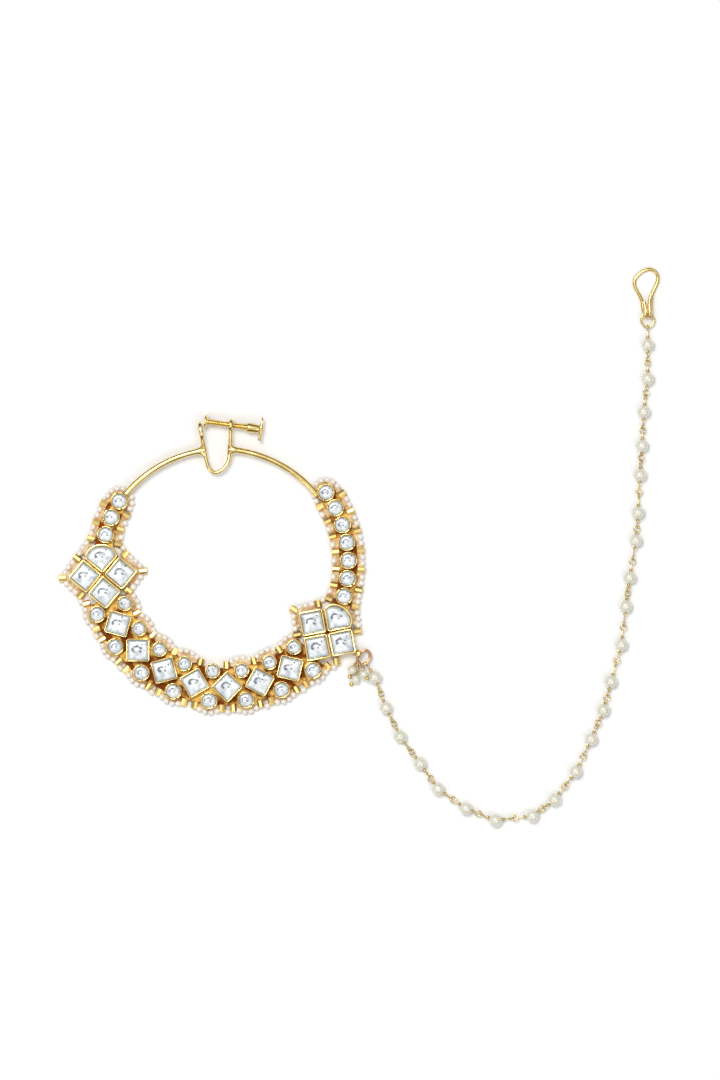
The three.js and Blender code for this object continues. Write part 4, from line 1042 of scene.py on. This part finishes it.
for k in range(len(chain_points) - 1):
    a, b = chain_points[k], chain_points[k + 1]
    along = (b - a).normalized()
    middle = a.lerp(b, random.uniform(0.48, 0.52)) - UP * EYE_DROP
    apart = 2 * CHAIN_EYE - EYE_OVERLAP
    tilt = random.choice((4, 18, 30, 62, 80))
    near, far = middle - along * apart / 2, middle + along * apart / 2
    wire_paths.append((eye_path(near, along, tilt, CHAIN_EYE), True))
    wire_paths.append((eye_path(far, along, tilt + 90, CHAIN_EYE), True))
    ends[k][1] = near - along * CHAIN_EYE
    ends[k + 1][0] = far + along * CHAIN_EYE
for centre, (start, end) in zip(chain_points, ends):
    for outer in (start, end):
        surface = centre + (outer - centre).normalized() * WIRE_LEAVES_PEARL
        wire_paths.append(([outer, surface, centre], False))
        wrapped = min(1, WRAP_LENGTH / max((outer - surface).length, 0.1))
        wire_paths.append((wrap_path(surface, surface.lerp(outer, wrapped), 0.3, 2.5), False))
wires("chain_wire", wire_paths, CHAIN_WIRE, fine_gold, 10,
      ["chain_section_%d" % (k + 1) for k in range(5)])
CHAIN_HOLE = [(1.66, 0.34), (1.6, 0.22)]
CHAIN_PROFILE = [(-1.6, 0.22), (-1.66, 0.34)] + ball_profile(PEARL_RADIUS, 72, 8) + CHAIN_HOLE
chain_shape = bead_shape("chain_pearl_shape", CHAIN_PROFILE, 40)
strung = [(centre, (end - start).normalized()) for centre, (start, end) in zip(chain_points, ends)]
beads("chain_pearls", strung, chain_shape, ivory, 61, least=0.97)
bpy.data.objects.remove(chain_shape)

# Hair hook. Springy gold wire is bent to a drop shape, doubled back under itself, and looped with
# both its legs over a small ring at the chain's end.
HOOK_WIRE = 0.9
HOOK_RADIUS = 0.44
HOOK_WIDTH = 7.1
HOOK_LENGTH = 13.3
HOOK_DEPTH = 1.9
END_RING_WIDE = 1.65
END_RING_LONG = 1.85
END_RING_WIRE = 0.25
hook_ring_middle = hook_ring_bottom + Vector((0, END_RING_LONG, 0))
ring_path = oval(hook_ring_middle, Vector((END_RING_WIDE, 0, 0)), Vector((0, END_RING_LONG, 0)), 48)
wires("hook_ring_wire", [(ring_path, True)], END_RING_WIRE, gold, 16, ["hook_ring"])
# The hook's route holds (share of its width, share of its length, share of its depth).
HOOK_ROUTE = ((0.4, 0.32, 0.95), (0.46, 0.17, 1.0), (0.46, 0.03, 1.0), (0.455, 0.0, 0.5), (0.45, 0.03, 0.0),
              (0.36, 0.18, 0.0), (0.32, 0.33, 0.0), (0.19, 0.48, 0.0), (0.02, 0.65, 0.0), (0.02, 0.78, 0.0),
              (0.16, 0.88, 0.0), (0.38, 0.96, 0.0), (0.63, 1.0, 0.0), (0.85, 0.96, 0.0), (0.98, 0.86, 0.0),
              (0.97, 0.75, 0.0), (0.87, 0.62, 0.0), (0.76, 0.5, 0.0), (0.7, 0.36, 0.0), (0.7, 0.2, 0.0),
              (0.65, 0.03, 0.0), (0.645, 0.0, 0.5), (0.64, 0.03, 1.0), (0.64, 0.2, 1.0), (0.63, 0.34, 0.85),
              (0.7, 0.46, 0.75))
hook_width = HOOK_WIDTH - HOOK_WIRE
leg_share = (0.55 - 0.455) * hook_width / END_RING_WIDE
ring_reach = END_RING_LONG * sqrt(1 - leg_share ** 2)
hook_origin = Vector((hook_ring_middle.x - 0.55 * hook_width,
                      hook_ring_middle.y + ring_reach - (HOOK_WIRE + 2 * END_RING_WIRE) / 2 - 0.26,
                      HOOK_WIRE / 2 + 0.12))
hook_points = [hook_origin + Vector((a * hook_width, u * (HOOK_LENGTH - HOOK_WIRE), level * HOOK_DEPTH))
               for a, u, level in HOOK_ROUTE]
wires("hair_hook_wire", [(eased(hook_points, 10), False)], HOOK_RADIUS, gold, 20, ["hair_hook"])

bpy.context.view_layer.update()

# Floor, soft studio light and a camera straight above.
bpy.ops.mesh.primitive_plane_add(size=20, location=(0, 0, 0))
floor = bpy.context.object
floor.name = "floor"
paper, nodes, links, shader = new_material("white_paper", {
    "Base Color": (0.96, 0.96, 0.96, 1), "Roughness": 0.9})
floor.data.materials.append(paper)
# A lamp holds (name, place, power, width), in metres and watts.
LAMPS = (("key", (-0.3, 0.4, 1.4), 10, 0.5), ("fill", (0.6, -0.5, 1.0), 2.0, 0.6),
         ("rim", (-0.7, -0.6, 0.6), 1.0, 0.3))
for name, place, energy, size in LAMPS:
    lamp = bpy.data.lights.new(name, "AREA")
    lamp.energy = energy
    lamp.size = size
    lamp_object = bpy.data.objects.new(name, lamp)
    lamp_object.location = place
    lamp_object.rotation_mode = "QUATERNION"
    lamp_object.rotation_quaternion = (-Vector(place)).to_track_quat("-Z", "Y")
    scene.collection.objects.link(lamp_object)
world = bpy.data.worlds.new("studio")
scene.world = world
world.use_nodes = True
nodes, links = world.node_tree.nodes, world.node_tree.links
direction = nodes.new("ShaderNodeTexCoord")
height = nodes.new("ShaderNodeSeparateXYZ")
links.new(direction.outputs["Generated"], height.inputs[0])
sky = nodes.new("ShaderNodeValToRGB")
for position, grey in ((0.3, 0.06), (0.55, 0.3), (0.8, 0.85)):
    sky.color_ramp.elements.new(position).color = (grey, grey, grey, 1)
sky.color_ramp.elements[0].color = (0.03, 0.03, 0.03, 1)
sky.color_ramp.elements[-1].color = (1, 1, 1, 1)
links.new(height.outputs[2], sky.inputs["Fac"])
links.new(sky.outputs["Color"], nodes["Background"].inputs["Color"])
nodes["Background"].inputs["Strength"].default_value = 0.9

camera_data = bpy.data.cameras.new("camera")
camera = bpy.data.objects.new("camera", camera_data)
scene.collection.objects.link(camera)
scene.camera = camera
CAMERA_HEIGHT = 3.0
PHOTO_HEIGHT_MM = 279.1
PHOTO_CENTRE = Vector((34.75, 6.07, 0))
SENSOR_WIDTH = 36
camera_data.sensor_width = SENSOR_WIDTH
camera_data.lens = SENSOR_WIDTH * CAMERA_HEIGHT * 1000 / PHOTO_HEIGHT_MM
camera_data.clip_end = 20
camera.location = (PHOTO_CENTRE + ring_centre) / 1000 + UP * CAMERA_HEIGHT
